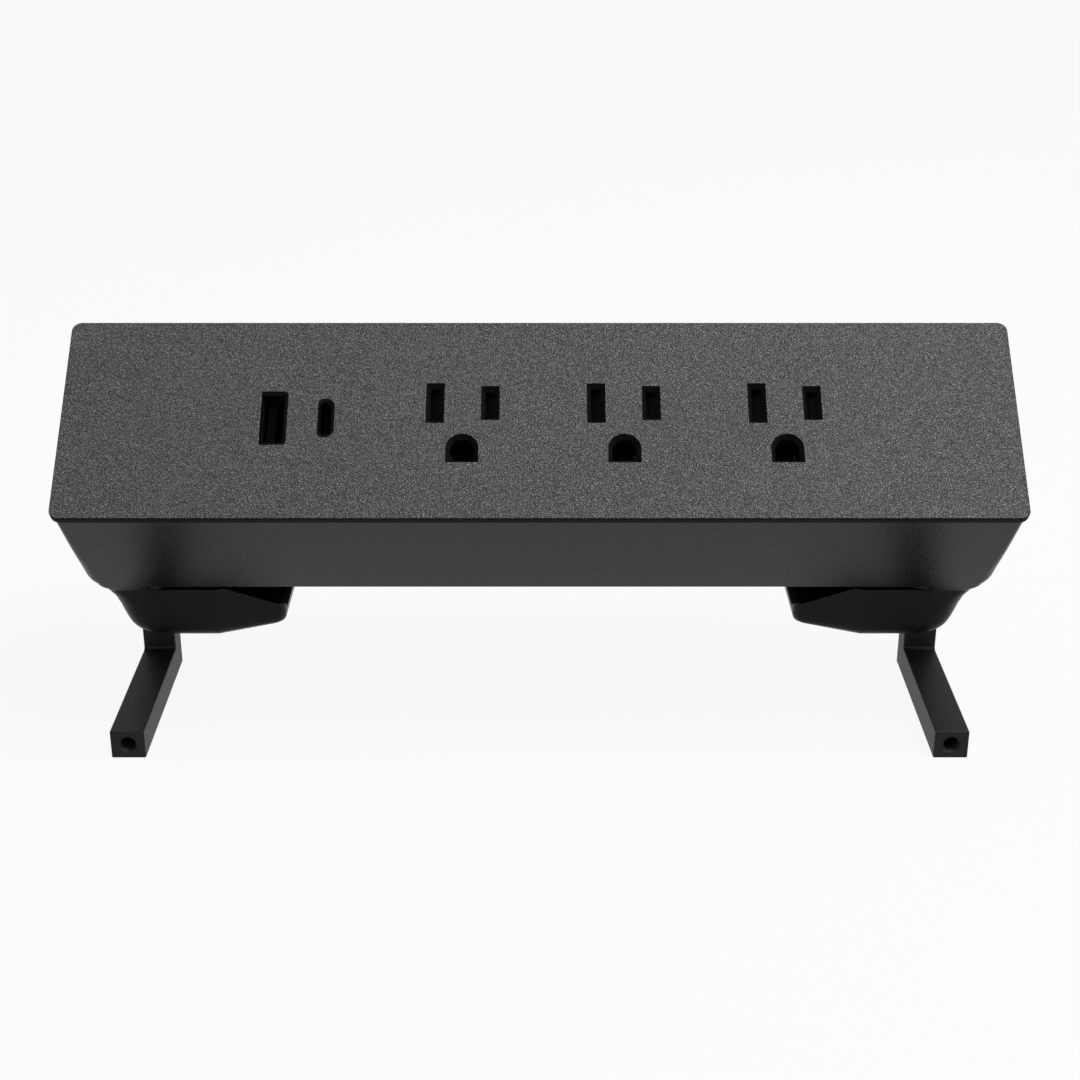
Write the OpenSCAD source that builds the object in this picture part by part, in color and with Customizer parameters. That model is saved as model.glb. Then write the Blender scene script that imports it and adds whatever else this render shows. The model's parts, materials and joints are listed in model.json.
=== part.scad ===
// Desk-edge power strip: a sloping face with three outlets and two USB ports,
// a tub-shaped housing with two hollow feet, and two L-shaped arms that slide
// up and down in the feet, so that a desktop is gripped between sole and arm.
// +Z is up, -Y faces the user, and the arms' undersides lie at Z = 0.

/* [Face plate] */
// Width of the face plate
plate_w = 220; // [216:1:270]
// Length of the face plate, measured up its slope
plate_l = 52; // [50:1:64]
// Thickness of the face plate
plate_t = 2; // [1.6:0.1:3]
// Corner radius of the face plate
plate_r = 3; // [2:0.5:6]
// Angle of the face above level
tilt = 40; // [34:1:44]

/* [Housing] */
// Depth of the housing, from the face to its underside
body_d = 39; // [37:0.5:50]
// How far the housing stands in from the plate's long edges
rim = 1.5; // [1:0.1:3]
// How far the housing's ends stand in from the ends of the plate
side_rim = 0.4; // [0.2:0.1:1.5]
// Wall thickness of the housing
wall = 2; // [1.6:0.1:2.6]
// Wall between the arm's bay and the wiring space
rib_t = 2; // [1.6:0.1:2.6]

/* [Feet] */
// Height of the housing's front lower edge above the soles
foot_h = 14.3; // [12:0.1:18]
// Width of a foot
foot_w = 42.5; // [40:0.5:46]
// Depth of a foot, front to back
foot_d = 31.5; // [28:0.5:33]
// How far a foot's front face lies behind the housing's lower edge
foot_set = 2; // [1:0.5:4]
// Length of the part of the front face that turns back
foot_turn = 16.4; // [12:0.2:18]
// How far the front face turns back at its inner end
foot_back = 6; // [3:0.5:8]
// Height of the low lip on a foot's inner side
lip_h = 3.7; // [3:0.1:6]
// Wall thickness of a foot
foot_wall = 1.8; // [1.5:0.1:2.4]
// Thickness of a foot's floor
floor_t = 2.6; // [2.2:0.1:4]
// Thickness of the rubber pad under a foot
pad_t = 1.2; // [1:0.1:1.8]
// How far the pad stands out of the sole
pad_proud = 0.2; // [0.1:0.1:0.6]

/* [Arms] */
// Width of the arm bar, along X
arm_w = 8; // [6:0.5:10]
// Depth of the arm bar
arm_t = 7; // [6:0.5:8.5]
// Length of the level part, tip to heel
arm_l = 49.6; // [40:0.1:55]
// Distance between the two arms, centre to centre
arm_pitch = 192; // [188:1:240]
// How far the arm tips stand ahead of the plate's lower edge
tip_proud = 4; // [1:0.5:8]
// Gap between sole and arm with the arm fully raised
clamp_gap = 8.8; // [6:0.1:14]
// How far the arm slides down
arm_travel = 25; // [15:1:26]
// Tap drill of the thread in the arm's tip
thread_d = 3.3; // [2.5:0.1:4.2]
// Depth of the thread in the arm's tip
thread_l = 12; // [8:1:20]
// Running clearance on each side of the arm
slide_gap = 0.1; // [0.05:0.01:0.2]

/* [Outlets] */
// Place of the first outlet along X
outlet_x = -17.7; // [-18:0.1:-14]
// Distance from outlet to outlet
outlet_pitch = 37.1; // [34:0.1:38]
// Distance of the blade slots up the slope
blade_v = 30; // [28:0.5:32]
// Half the distance between the two blades
blade_half = 6.35; // [6.3:0.01:6.4]
// Distance from the blades to the ground pin
ground_drop = 11.9; // [11.8:0.01:12]
// Width of a blade slot at its throat
slot_w = 2.2; // [1.9:0.1:2.4]
// Length of the neutral slot at its throat
neutral_l = 8.5; // [8.2:0.1:9]
// Length of the line slot at its throat
line_l = 7; // [6.6:0.1:7.4]
// Width of the ground hole at its throat
ground_w = 5.5; // [5.2:0.1:5.8]
// Width of the chamfer round each outlet hole
slot_cham = 0.95; // [0.4:0.05:1.1]
// Depth of that chamfer
cham_d = 1.1; // [0.5:0.1:1.3]

/* [USB ports] */
// Place of the larger port along X
usb_a_x = -61.3; // [-62:0.1:-60]
// Place of the smaller port along X
usb_c_x = -49.3; // [-50:0.1:-48]
// Distance of both ports up the slope
usb_v = 26; // [24:0.5:28]
// Width of the larger port's mouth
usb_a_w = 5.1; // [5:0.05:5.3]
// Length of the larger port's mouth
usb_a_l = 12.5; // [12.4:0.05:12.7]
// Width of the smaller port's mouth
usb_c_w = 2.7; // [2.6:0.05:2.8]
// Length of the smaller port's mouth
usb_c_l = 8.6; // [8.4:0.05:8.8]
// Wall of the port shells
shell_t = 0.35; // [0.25:0.05:0.4]

/* [Shutters] */
// Travel of a shutter
shutter_travel = 3; // [2.8:0.1:3.2]
// Thickness of a shutter
shutter_t = 3; // [2.4:0.1:3.4]
// Clearance round a shutter
shutter_gap = 0.15; // [0.1:0.05:0.3]

/* [Cord entry] */
// Bore of the cord gland
gland_bore = 9; // [7:0.5:10]
// Wall of the gland's barrel
gland_wall = 2; // [1.5:0.1:3]
// Place of the gland along X
gland_x = 0; // [-6:1:6]

/* [Hardware] */
// Thread diameter of the small screws
screw_d = 3; // [2.5:0.1:3]
// Head diameter of the small screws
head_d = 5.6; // [5:0.1:6]
// Head height of the small screws
head_h = 1.8; // [1.4:0.1:2.2]
// Clearance round a screw's thread
screw_gap = 0.05; // [0.02:0.01:0.2]
// Thickness of the brass strips
brass_t = 0.8; // [0.6:0.1:1]
// Diameter of an insulated lead
lead_d = 2.6; // [2:0.1:3]

/* [Hidden] */
$fn = 48;

eps = 0.01;
big = 400;

// Heights, from the floor up
sole_z = arm_t + clamp_gap;
lower_edge_z = sole_z + foot_h;
plate_z = lower_edge_z + body_d * cos(tilt) - rim * sin(tilt);

// Depths, with the whole part centred on Y = 0
back_reach = (plate_l - rim) * cos(tilt) + body_d * sin(tilt);
plate_y = (tip_proud - back_reach) / 2;
lower_edge_y = plate_y + rim * cos(tilt) + body_d * sin(tilt);
foot_y = lower_edge_y + foot_set;
arm_tip_y = plate_y - tip_proud;
heel_y = arm_tip_y + arm_l;
bar_y = heel_y - arm_t;

// Widths
body_half = plate_w / 2 - side_rim;
arm_x = arm_pitch / 2;
bay_side = 5.5;
foot_out = arm_x + arm_w / 2 + bay_side;
foot_in = foot_out - foot_w;
rib_x = arm_x - arm_w / 2 - 4;

// Arm, guide and stop
guide_wall = 2;
guide_back = 4.6;
guide_z = sole_z + 11;
guide_h = 19;
guide_out = arm_x + arm_w / 2 + slide_gap + guide_wall;
guide_front = bar_y - slide_gap - guide_wall;
guide_back_y = heel_y + slide_gap + guide_back;
bar_top = guide_z + guide_h + arm_travel + 0.5;
lock_d = 5;
lock_z = guide_z + guide_h / 2;
stop_d = 4;
stop_head_d = 9.4;
stop_head_h = 2.4;
stop_l = 10;
// the upper screw's head stays below the housing's underside
under_guide_z = lower_edge_z + (bar_y + arm_t / 2 - lower_edge_y) * tan(tilt);
guide_screw_z = [guide_z + 3.4, min(guide_z + guide_h - 8, under_guide_z - head_d / 2 - 0.3)];

// The sole pad lies inside the sole, clear of the arm
pad_x = [foot_in + 4, arm_x - arm_w / 2 - 2];
pad_y = [foot_y + foot_back + 1.5, foot_y + foot_d - 3];
pad_r = 2;

// Depths behind the face: negative is further in
plate_back = -plate_t;
body_floor = -(body_d - wall);
carrier_h = 17;
carrier_back = plate_back - carrier_h;
cover_t = 2.5;
cover_back = carrier_back - cover_t;
board_n = plate_back - 13;
board_t = 1.6;
board_back = board_n - board_t;

outlets = [for (i = [0:2]) outlet_x + i * outlet_pitch];
ground_v = blade_v - ground_drop;
carrier_x = [outlets[0] - 17, outlets[2] + 17];
carrier_v = [ground_v - 8.4, blade_v + 12];
// screws between the outlets, and beside the first and last ground holes
carrier_screw_at = [[outlets[0] - 13.5, ground_v - 0.4], [outlets[0] + 20.5, blade_v - 1],
                    [outlets[1] + 20.5, blade_v - 1], [outlets[2] + 13.5, ground_v - 0.4]];
boss_r = 2.9;
boss_h = 5;

// Posts that take the plate's screws: two over the feet, two before and two behind the carrier
post_r = min(2.9, (carrier_v[0] - rim - wall - 0.3) / 2);
post_low_v = rim + wall + 0.2 + post_r;
post_high_v = carrier_v[1] + 0.1 + post_r;
foot_post = [rib_x - rib_t - 4, 8];
plate_post = [
    [-foot_post[0], foot_post[1]], [foot_post[0], foot_post[1]],
    [carrier_x[0] + 3.7, post_low_v], [carrier_x[1] - 17.5, post_low_v],
    [carrier_x[0] + 3.7, post_high_v], [carrier_x[1] - 17.5, post_high_v]
];

// Shutter, in its outlet's own coordinates
shutter_x = [-12, 9];
shutter_v = 5.6;
shutter_top = plate_back - shutter_gap;
shutter_back = shutter_top - shutter_t;
pocket_back = shutter_back - shutter_gap;
window_w = slot_w + 0.7;
spring_room = 7;
spring_r = 1.1;
spring_wire = 0.35;
spring_turns = 6;

// Contacts
clip_v = 6;
clip_top = pocket_back - 3.5;
clip_base = carrier_back + brass_t;
strip_w = 2.6;
neutral_strip_v = blade_v + 5.2;
line_strip_v = blade_v - 5.2 - strip_w;
ground_strip_v = ground_v - 4.6 - strip_w;
tab_out = 3.4;

// USB board
board_x = [usb_a_x - 14.2, usb_c_x + 10.8];
board_v = [6, 46];
board_screw_x = [board_x[0] + 3.5, board_x[1] - 3.5];
board_screw_v = [board_v[0] + 3.5, board_v[1] - 3.5];
board_post_r = 2.7;

// Terminal block and gland
term_x = [24, 50];
term_v = [17, 29];
term_h = 10;
term_pitch = 8;
gland_v = plate_l / 2;
gland_r = gland_bore / 2 + gland_wall;
gland_flange_r = gland_r + 2.5;
gland_flange_t = 2.4;
gland_nut_t = 4;
gland_in = 6.5;

// ---------- Shared shapes ----------

// Children are drawn in the face's own coordinates: X, up the slope, out of the face
module on_face() {
    translate([0, plate_y, plate_z]) rotate([tilt, 0, 0]) children();
}

// Children on both sides, as mirror images
module both_sides() {
    children();
    mirror([1, 0, 0]) children();
}

// Everything below the housing's underside
module below_body() {
    on_face() translate([-big / 2, -big / 2, -big - body_d]) cube(big);
}

// A rectangle with round corners, centred
module round_rect(w, l, r) {
    square([w - 2 * r, l], center = true);
    square([w, l - 2 * r], center = true);
    for (x = [-1, 1], y = [-1, 1]) translate([x * (w / 2 - r), y * (l / 2 - r)]) circle(r);
}

// A rectangular hole cut down from the face, with a sloping chamfer; its upper
// side can have a chamfer of its own
module chamfered_slot(w, l, cham, cham_depth, depth, upper_cham = -1) {
    translate([-w / 2, -l / 2, -depth]) cube([w, l, depth]);
    a = [w / 2, l / 2];
    b = [w / 2 + cham, l / 2 + cham];
    upper = l / 2 + (upper_cham < 0 ? cham : upper_cham);
    top = eps;
    polyhedron(
        points = [
            [-a[0], -a[1], -cham_depth], [a[0], -a[1], -cham_depth],
            [a[0], a[1], -cham_depth], [-a[0], a[1], -cham_depth],
            [-b[0], -b[1], top], [b[0], -b[1], top], [b[0], upper, top], [-b[0], upper, top]
        ],
        faces = [[0, 1, 2, 3], [7, 6, 5, 4], [0, 4, 5, 1], [1, 5, 6, 2], [2, 6, 7, 3], [3, 7, 4, 0]]
    );
}

// The ground hole: a half round above, square below
module ground_hole(depth) {
    r = ground_w / 2;
    drop = r - slot_cham / 10;
    translate([0, 0, -depth]) cylinder(r = r, h = depth);
    translate([0, 0, -cham_d]) cylinder(r1 = r, r2 = r + slot_cham, h = cham_d + eps);
    translate([0, -drop / 2, 0]) chamfered_slot(ground_w, drop, slot_cham, cham_d, depth, 0);
}

// A pan-head screw, its head's underside at the origin and its thread down -Z
module screw(l, d = screw_d, hd = head_d, hh = head_h) {
    difference() {
        union() {
            cylinder(d = hd, h = hh);
            translate([0, 0, -l]) cylinder(d = d, h = l + eps);
        }
        translate([-hd * 0.3, -0.4, hh - 0.8]) cube([hd * 0.6, 0.8, 1]);
        translate([-0.4, -hd * 0.3, hh - 0.8]) cube([0.8, hd * 0.6, 1]);
    }
}

// A point on a cubic curve with four control points
function curve_at(p, t) =
    pow(1 - t, 3) * p[0] + 3 * t * pow(1 - t, 2) * p[1] + 3 * t * t * (1 - t) * p[2] + pow(t, 3) * p[3];
function unit(v) = v / norm(v);

// The triangles that join rings of points into a closed tube, ring to ring
function tube_faces(rings, sides) = concat(
    [[for (k = [0:sides - 1]) k]],
    [for (i = [0:rings - 1], k = [0:sides - 1], half = [0, 1]) let (n = (k + 1) % sides, a = i * sides, b = a + sides)
        half == 0 ? [a + k, b + k, b + n] : [a + k, b + n, a + n]],
    [[for (k = [sides - 1:-1:0]) rings * sides + k]]
);

// A round lead along a cubic curve
module lead(p, d = lead_d, rings = 16, sides = 8) {
    pts = [for (i = [0:rings]) let (t = i / rings,
            at = curve_at(p, t),
            dir = unit(curve_at(p, min(1, t + 0.01)) - curve_at(p, max(0, t - 0.01))),
            side = unit(cross(dir, [0.31, 0.9, 0.2])),
            up = cross(side, dir))
        for (k = [0:sides - 1]) let (a = 360 * k / sides)
            at + d / 2 * (cos(a) * side + sin(a) * up)];
    polyhedron(points = pts, faces = tube_faces(rings, sides), convexity = 4);
}

// ---------- Housing ----------

// The tub's outer form, pulled in by inset: each slice has its depth, half width and corner radius
module tub(inset, bottom) {
    slices = [[plate_back, 0, 1], [4.5 - body_d, 0.3, 3], [-body_d, 2.2, 3]];
    hull() for (s = slices) {
        n = s[0] == -body_d ? bottom : s[0];
        half = body_half - s[1] - inset;
        r = max(0.8, s[2] - inset);
        for (x = [-1, 1], v = [rim + inset + r, plate_l - rim - inset - r])
            translate([x * (half - r), v, n]) cylinder(r = r, h = eps, $fn = 40);
    }
}

// A right foot's outer form, from z0 up: each slice has its height above the sole, how
// far its outer side stands in, how far its other sides do, and its outer corners' radius
module foot_form(inset, z0) {
    slices = [[0, 8.5, 1.4, 6], [1, 6, 0.4, 6], [2.8, 4.3, 0, 6], [7.5, 2.1, 0, 6],
              [foot_h, -1.2, 0, 4], [foot_h + 32, -1.2, 0, 4]];
    front = foot_y + inset;
    back = foot_y + foot_d - inset;
    hull() for (s = slices) {
        out = foot_out - s[1] - inset;
        in = foot_in + inset;
        z = sole_z + max(s[0], z0);
        corners = [
            [out, front + s[2], s[3] - inset],
            [out, back - s[2], s[3] - inset],
            [in + s[2], back - s[2], 3 - inset],
            [in + s[2], front + foot_back + s[2], 3 - inset]
        ];
        for (c = corners)
            translate([c[0] + (c[0] == out ? -c[2] : c[2]), c[1] + (c[1] < back - foot_d / 2 ? c[2] : -c[2]), z])
                cylinder(r = c[2], h = eps, $fn = 32);
        translate([foot_in + foot_turn, front + s[2] + 1, z]) cylinder(r = 1, h = eps, $fn = 12);
    }
}

// What is hollow in a right foot: the arm's bay outside the rib, the open tray inside it
module foot_hollow() {
    form_top = foot_h + 40;
    difference() {
        foot_form(foot_wall, floor_t);
        translate([rib_x - rib_t, -big / 2, 0]) cube([rib_t, big, big]);
        // above the housing's underside only the bay is open
        difference() {
            translate([0, -big / 2, 0]) cube([rib_x, big, big]);
            below_body();
        }
        on_face() translate([0, -big / 2, body_floor]) cube([big, big, big]);
    }
}

// The cuts that open a right foot's tray: its low inner side and the sloping top of its front
module tray_mouth() {
    top = lower_edge_z + 30;
    slope_x = foot_in + foot_turn + 0.5;
    low_z = sole_z + 6.3;
    intersection() {
        below_body();
        union() {
            translate([foot_in - 1, foot_y + foot_back + 2.4, sole_z + lip_h])
                cube([foot_wall + 4, foot_d - foot_back - 2.4 - foot_wall - 1, top]);
            translate([0, foot_y + foot_d / 3, 0]) rotate([90, 0, 0])
                linear_extrude(height = foot_d)
                    polygon([[foot_in - 1, low_z], [foot_in + 2, low_z], [slope_x, lower_edge_z - 0.5],
                             [slope_x, top], [foot_in - 1, top]]);
        }
    }
}

module housing() {
    color([0.09, 0.09, 0.1]) difference() {
        union() {
            on_face() tub(0, -body_d);
            both_sides() intersection() {
                foot_form(0, 0);
                on_face() translate([-big / 2, -big / 2, -big - body_d + 1]) cube(big);
            }
        }
        // wiring space and the upper part of each bay
        difference() {
            on_face() tub(wall, body_floor);
            both_sides() difference() {
                translate([rib_x - rib_t, -big / 2, -big / 2]) cube([rib_t, big, big]);
                on_face() translate([0, -big / 2, plate_back - 3.4]) cube(big);
            }
        }
        on_face() translate([0, 0, plate_back]) linear_extrude(height = 1) square(big, center = true);
        both_sides() {
            foot_hollow();
            tray_mouth();
            // room round the guide's outer side
            translate([arm_x, guide_front - 0.2, guide_z - 0.2])
                cube([guide_out - arm_x + 0.2, guide_back_y - guide_front + 0.4, guide_h + 0.4]);
            // way out for the arm
            translate([arm_x - arm_w / 2 - 0.4, bar_y - 0.4, sole_z - 1])
                cube([arm_w + 0.8, arm_t + 0.8, floor_t + 4]);
            // recess for the sole pad
            translate([(pad_x[0] + pad_x[1]) / 2, (pad_y[0] + pad_y[1]) / 2, sole_z - 1])
                linear_extrude(height = 1 + pad_t - pad_proud)
                    round_rect(pad_x[1] - pad_x[0], pad_y[1] - pad_y[0], pad_r);
            // key hole to the lock screw
            translate([arm_x, foot_y + foot_d - foot_wall - 1, lock_z]) rotate([-90, 0, 0])
                cylinder(d = lock_d + 2, h = 6);
            // holes for the guide's screws
            for (z = guide_screw_z) translate([rib_x - rib_t - 1, bar_y + arm_t / 2, z]) rotate([0, 90, 0])
                cylinder(d = screw_d + 2 * screw_gap, h = rib_t + 2);
            // the sole pad hides a driver's way to the screw above it
            on_face() translate([foot_post[0], foot_post[1], -body_d - 32]) cylinder(d = head_d + 1.4, h = 32);
        }
        // counterbored holes for the plate's screws
        on_face() for (p = plate_post) translate([p[0], p[1], -body_d - 1]) {
            cylinder(d = screw_d + 2 * screw_gap, h = wall + 2);
            cylinder(d = head_d + 0.6, h = 1 + wall / 2);
        }
        on_face() translate([gland_x, gland_v, -body_d - 1]) cylinder(r = gland_r + screw_gap, h = wall + 2);
    }
}

module sole_pad() {
    gap = 0.1;
    color([0.05, 0.05, 0.05])
        translate([(pad_x[0] + pad_x[1]) / 2, (pad_y[0] + pad_y[1]) / 2, sole_z - pad_proud])
            linear_extrude(height = pad_t)
                round_rect(pad_x[1] - pad_x[0] - 2 * gap, pad_y[1] - pad_y[0] - 2 * gap, pad_r - gap);
}

// ---------- Face plate ----------

module face_plate() {
    mid_v = plate_l / 2;
    inner_w = 2 * (body_half - wall) - 0.4;
    inner_l = plate_l - 2 * (rim + wall) - 0.4;
    color([0.16, 0.16, 0.165]) on_face() difference() {
        union() {
            translate([0, mid_v, plate_back]) linear_extrude(height = plate_t) round_rect(plate_w, plate_l, plate_r);
            // locating rib just inside the housing's wall
            translate([0, mid_v, plate_back - 2.5]) linear_extrude(height = 2.5 + eps) difference() {
                round_rect(inner_w, inner_l, 2);
                round_rect(inner_w - 2.4, inner_l - 2.4, 1);
            }
            // posts that take the screws from below
            for (p = plate_post) translate([p[0], p[1], body_floor])
                cylinder(r = post_r, h = plate_back - body_floor + eps);
            for (x = board_screw_x, v = board_screw_v) translate([x, v, board_n])
                cylinder(r = board_post_r, h = plate_back - board_n + eps);
            for (p = carrier_screw_at) translate([p[0], p[1], plate_back - boss_h])
                cylinder(r = boss_r, h = boss_h + eps);
        }
        for (x = outlets) {
            translate([x - blade_half, blade_v, 0]) chamfered_slot(slot_w, neutral_l, slot_cham, cham_d, plate_t + 1);
            translate([x + blade_half, blade_v, 0]) chamfered_slot(slot_w, line_l, slot_cham, cham_d, plate_t + 1);
            translate([x, ground_v, 0]) ground_hole(plate_t + 1);
        }
        translate([usb_a_x, usb_v, 0]) chamfered_slot(usb_a_w, usb_a_l, 0.8, cham_d, plate_t + 1);
        translate([usb_c_x, usb_v, 0]) {
            r = usb_c_w / 2;
            cham = 0.85;
            for (s = [-1, 1]) translate([0, s * (usb_c_l / 2 - r), 0]) {
                translate([0, 0, -plate_t - 1]) cylinder(r = r, h = plate_t + 1);
                translate([0, 0, -cham_d]) cylinder(r1 = r, r2 = r + cham, h = cham_d + eps);
            }
            chamfered_slot(usb_c_w, usb_c_l - usb_c_w, cham, cham_d, plate_t + 1);
        }
        for (p = plate_post) translate([p[0], p[1], body_floor - 1])
            cylinder(d = screw_d + 2 * screw_gap, h = 12);
        for (x = board_screw_x, v = board_screw_v) translate([x, v, board_n - 1])
            cylinder(d = screw_d - 1 + 2 * screw_gap, h = 8);
        for (p = carrier_screw_at) translate([p[0], p[1], plate_back - boss_h - 1])
            cylinder(d = screw_d - 0.5 + 2 * screw_gap, h = boss_h + 1.5);
    }
}

module plate_screws() {
    color("silver") on_face() for (p = plate_post)
        translate([p[0], p[1], -body_d + wall / 2]) mirror([0, 0, 1]) screw(10);
}

// ---------- Arms and their guides ----------

module arm() {
    color([0.12, 0.12, 0.125]) translate([arm_x, 0, 0]) difference() {
        union() {
            translate([-arm_w / 2, arm_tip_y, 0]) cube([arm_w, arm_l, arm_t]);
            translate([-arm_w / 2, bar_y, 0]) cube([arm_w, arm_t, bar_top]);
        }
        translate([0, arm_tip_y - 1, arm_t / 2]) rotate([-90, 0, 0]) cylinder(d = thread_d, h = thread_l + 1);
        translate([0, arm_tip_y - eps, arm_t / 2]) rotate([-90, 0, 0])
            cylinder(d1 = thread_d + 1, d2 = thread_d, h = 0.5);
        translate([0, bar_y + arm_t / 2, bar_top - stop_l - 1])
            cylinder(d = stop_d + 2 * screw_gap, h = stop_l + 2);
    }
}

module stop_screw() {
    color("silver") translate([arm_x, bar_y + arm_t / 2, bar_top])
        screw(stop_l, stop_d, stop_head_d, stop_head_h);
}

module guide() {
    color([0.55, 0.55, 0.57]) difference() {
        translate([rib_x, guide_front, guide_z])
            cube([guide_out - rib_x, guide_back_y - guide_front, guide_h]);
        translate([arm_x - arm_w / 2 - slide_gap, bar_y - slide_gap, guide_z - 1])
            cube([arm_w + 2 * slide_gap, arm_t + 2 * slide_gap, guide_h + 2]);
        translate([arm_x, heel_y, lock_z]) rotate([-90, 0, 0])
            cylinder(d = lock_d + 2 * screw_gap, h = guide_back + 2);
        for (z = guide_screw_z) translate([rib_x - 1, bar_y + arm_t / 2, z]) rotate([0, 90, 0])
            cylinder(d = screw_d + 2 * screw_gap, h = 5);
    }
}

// A grub screw with a hexagon socket
module lock_screw() {
    l = guide_back - 0.1;
    color([0.2, 0.2, 0.21]) translate([arm_x, heel_y + slide_gap + 0.1, lock_z]) rotate([-90, 0, 0]) difference() {
        cylinder(d = lock_d, h = l);
        translate([0, 0, l - 2.4]) cylinder(d = 2.9, h = 3, $fn = 6);
    }
}

module guide_screws() {
    color("silver") both_sides() for (z = guide_screw_z)
        translate([rib_x - rib_t, bar_y + arm_t / 2, z]) rotate([0, -90, 0]) screw(rib_t + 3.2);
}

// ---------- Outlets ----------

module contact_carrier() {
    w = carrier_x[1] - carrier_x[0];
    l = carrier_v[1] - carrier_v[0];
    color([0.2, 0.2, 0.21]) on_face() difference() {
        translate([carrier_x[0], carrier_v[0], carrier_back]) cube([w, l, carrier_h]);
        for (x = outlets) {
            // pocket for the shutter and its spring
            translate([x + shutter_x[0] - shutter_gap, blade_v - shutter_v - shutter_gap, pocket_back])
                cube([shutter_x[1] - shutter_x[0] + spring_room + shutter_gap,
                      2 * (shutter_v + shutter_gap), plate_back - pocket_back + 1]);
            // chambers for the blade and ground clips
            for (s = [-1, 1]) translate([x + s * blade_half - 2.6, blade_v - 4.6, carrier_back - 1])
                cube([5.2, 9.2, carrier_h]);
            translate([x - 3.4, ground_v - 3.6, carrier_back - 1]) cube([6.8, 7.2, carrier_h + 3]);
            // openings from each chamber to its strip's groove
            translate([x - blade_half - 2.6, blade_v, carrier_back - 1])
                cube([5.2, neutral_strip_v - blade_v, 1 + 2 * brass_t]);
            translate([x + blade_half - 2.6, line_strip_v, carrier_back - 1])
                cube([5.2, blade_v - line_strip_v, 1 + 2 * brass_t]);
            translate([x - 3.4, ground_strip_v, carrier_back - 1])
                cube([6.8, ground_v - ground_strip_v, 1 + 2 * brass_t]);
        }
        for (v = [neutral_strip_v, line_strip_v, ground_strip_v])
            translate([carrier_x[0] - 1, v - 0.2, carrier_back - 1]) cube([w + 2, strip_w + 0.4, 1 + 1.5 * brass_t]);
        for (p = carrier_screw_at) translate([p[0], p[1], carrier_back - 1]) {
            cylinder(d = screw_d - 0.5 + 2 * screw_gap, h = carrier_h + 2);
            translate([0, 0, 1 + carrier_h - boss_h - 0.1]) cylinder(r = boss_r + 0.15, h = boss_h + 2);
        }
    }
}

module carrier_cover() {
    w = carrier_x[1] - carrier_x[0];
    l = carrier_v[1] - carrier_v[0];
    color([0.3, 0.3, 0.31]) on_face() difference() {
        union() {
            translate([carrier_x[0], carrier_v[0], cover_back]) cube([w, l, cover_t]);
            for (v = [line_strip_v, neutral_strip_v])
                translate([carrier_x[0] + 3, v, cover_back - 1.5]) cube([w - 6, 1.6, 1.5 + eps]);
        }
        for (p = carrier_screw_at) translate([p[0], p[1], cover_back - 2])
            cylinder(d = screw_d - 0.5 + 2 * screw_gap, h = cover_t + 3);
    }
}

module carrier_screws() {
    color("silver") on_face() for (p = carrier_screw_at)
        translate([p[0], p[1], cover_back]) mirror([0, 0, 1])
            screw(cover_t + carrier_h - 0.8, screw_d - 0.5, head_d - 0.6, head_h);
}

// A pair of spring leaves that grips a blade, with flared mouths, on a base
module clip(gap, leaf_w) {
    h = clip_top - clip_base;
    flare = 0.7;
    leaf = [
        [gap / 2 + 0.5, -brass_t], [gap / 2 + 0.5, h * 0.25], [gap / 2, h * 0.8], [gap / 2 + flare, h],
        [gap / 2 + flare + brass_t * 0.75, h], [gap / 2 + brass_t * 0.75, h * 0.8],
        [gap / 2 + 0.5 + brass_t * 0.75, h * 0.25], [gap / 2 + 0.5 + brass_t * 0.75, -brass_t]
    ];
    for (s = [0, 1]) mirror([s, 0, 0])
        translate([0, leaf_w / 2, clip_base]) rotate([90, 0, 0]) linear_extrude(height = leaf_w) polygon(leaf);
}

// A brass strip with a clip under each outlet: dx places the clips, strip_v the strip
module bus(dx, clip_at_v, strip_v, gap) {
    low = min(strip_v, clip_at_v - clip_v / 2);
    high = max(strip_v + strip_w, clip_at_v + clip_v / 2);
    base_w = gap + 1 + 2 * brass_t;
    color([0.82, 0.66, 0.3]) on_face() {
        translate([carrier_x[0] - tab_out, strip_v, carrier_back])
            cube([carrier_x[1] - carrier_x[0] + 2 * tab_out, strip_w, brass_t]);
        for (x = outlets) translate([x + dx, 0, 0]) {
            translate([-base_w / 2, low, carrier_back]) cube([base_w, high - low, brass_t]);
            translate([0, clip_at_v, 0]) clip(gap, clip_v);
        }
    }
}

// The slider that shuts both blade slots until two blades press its ramps together
module shutter(i) {
    x = outlets[i];
    wide = 2 * shutter_v;
    color([0.03, 0.03, 0.03]) on_face() translate([x, blade_v, 0]) difference() {
        translate([shutter_x[0], -shutter_v, shutter_back])
            cube([shutter_x[1] - shutter_x[0], wide, shutter_t]);
        for (s = [-1, 1]) translate([s * blade_half - shutter_travel - window_w / 2, -4.7, shutter_back - 1]) {
            cube([window_w, 9.4, shutter_t + 2]);
            // ramp that rises away from the window
            translate([window_w - eps, 0, 0]) rotate([90, 0, 0]) translate([0, 0, -9.4])
                linear_extrude(height = 9.4)
                    polygon([[0, 1 + shutter_t * 0.35], [2.6, 1 + shutter_t + eps], [0, 1 + shutter_t + eps]]);
        }
        // seat for the spring
        translate([shutter_x[1] - 1.5, 0, (shutter_top + shutter_back) / 2]) rotate([0, 90, 0])
            cylinder(r = spring_r + spring_wire / 2 + 0.15, h = 2);
    }
}

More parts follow.
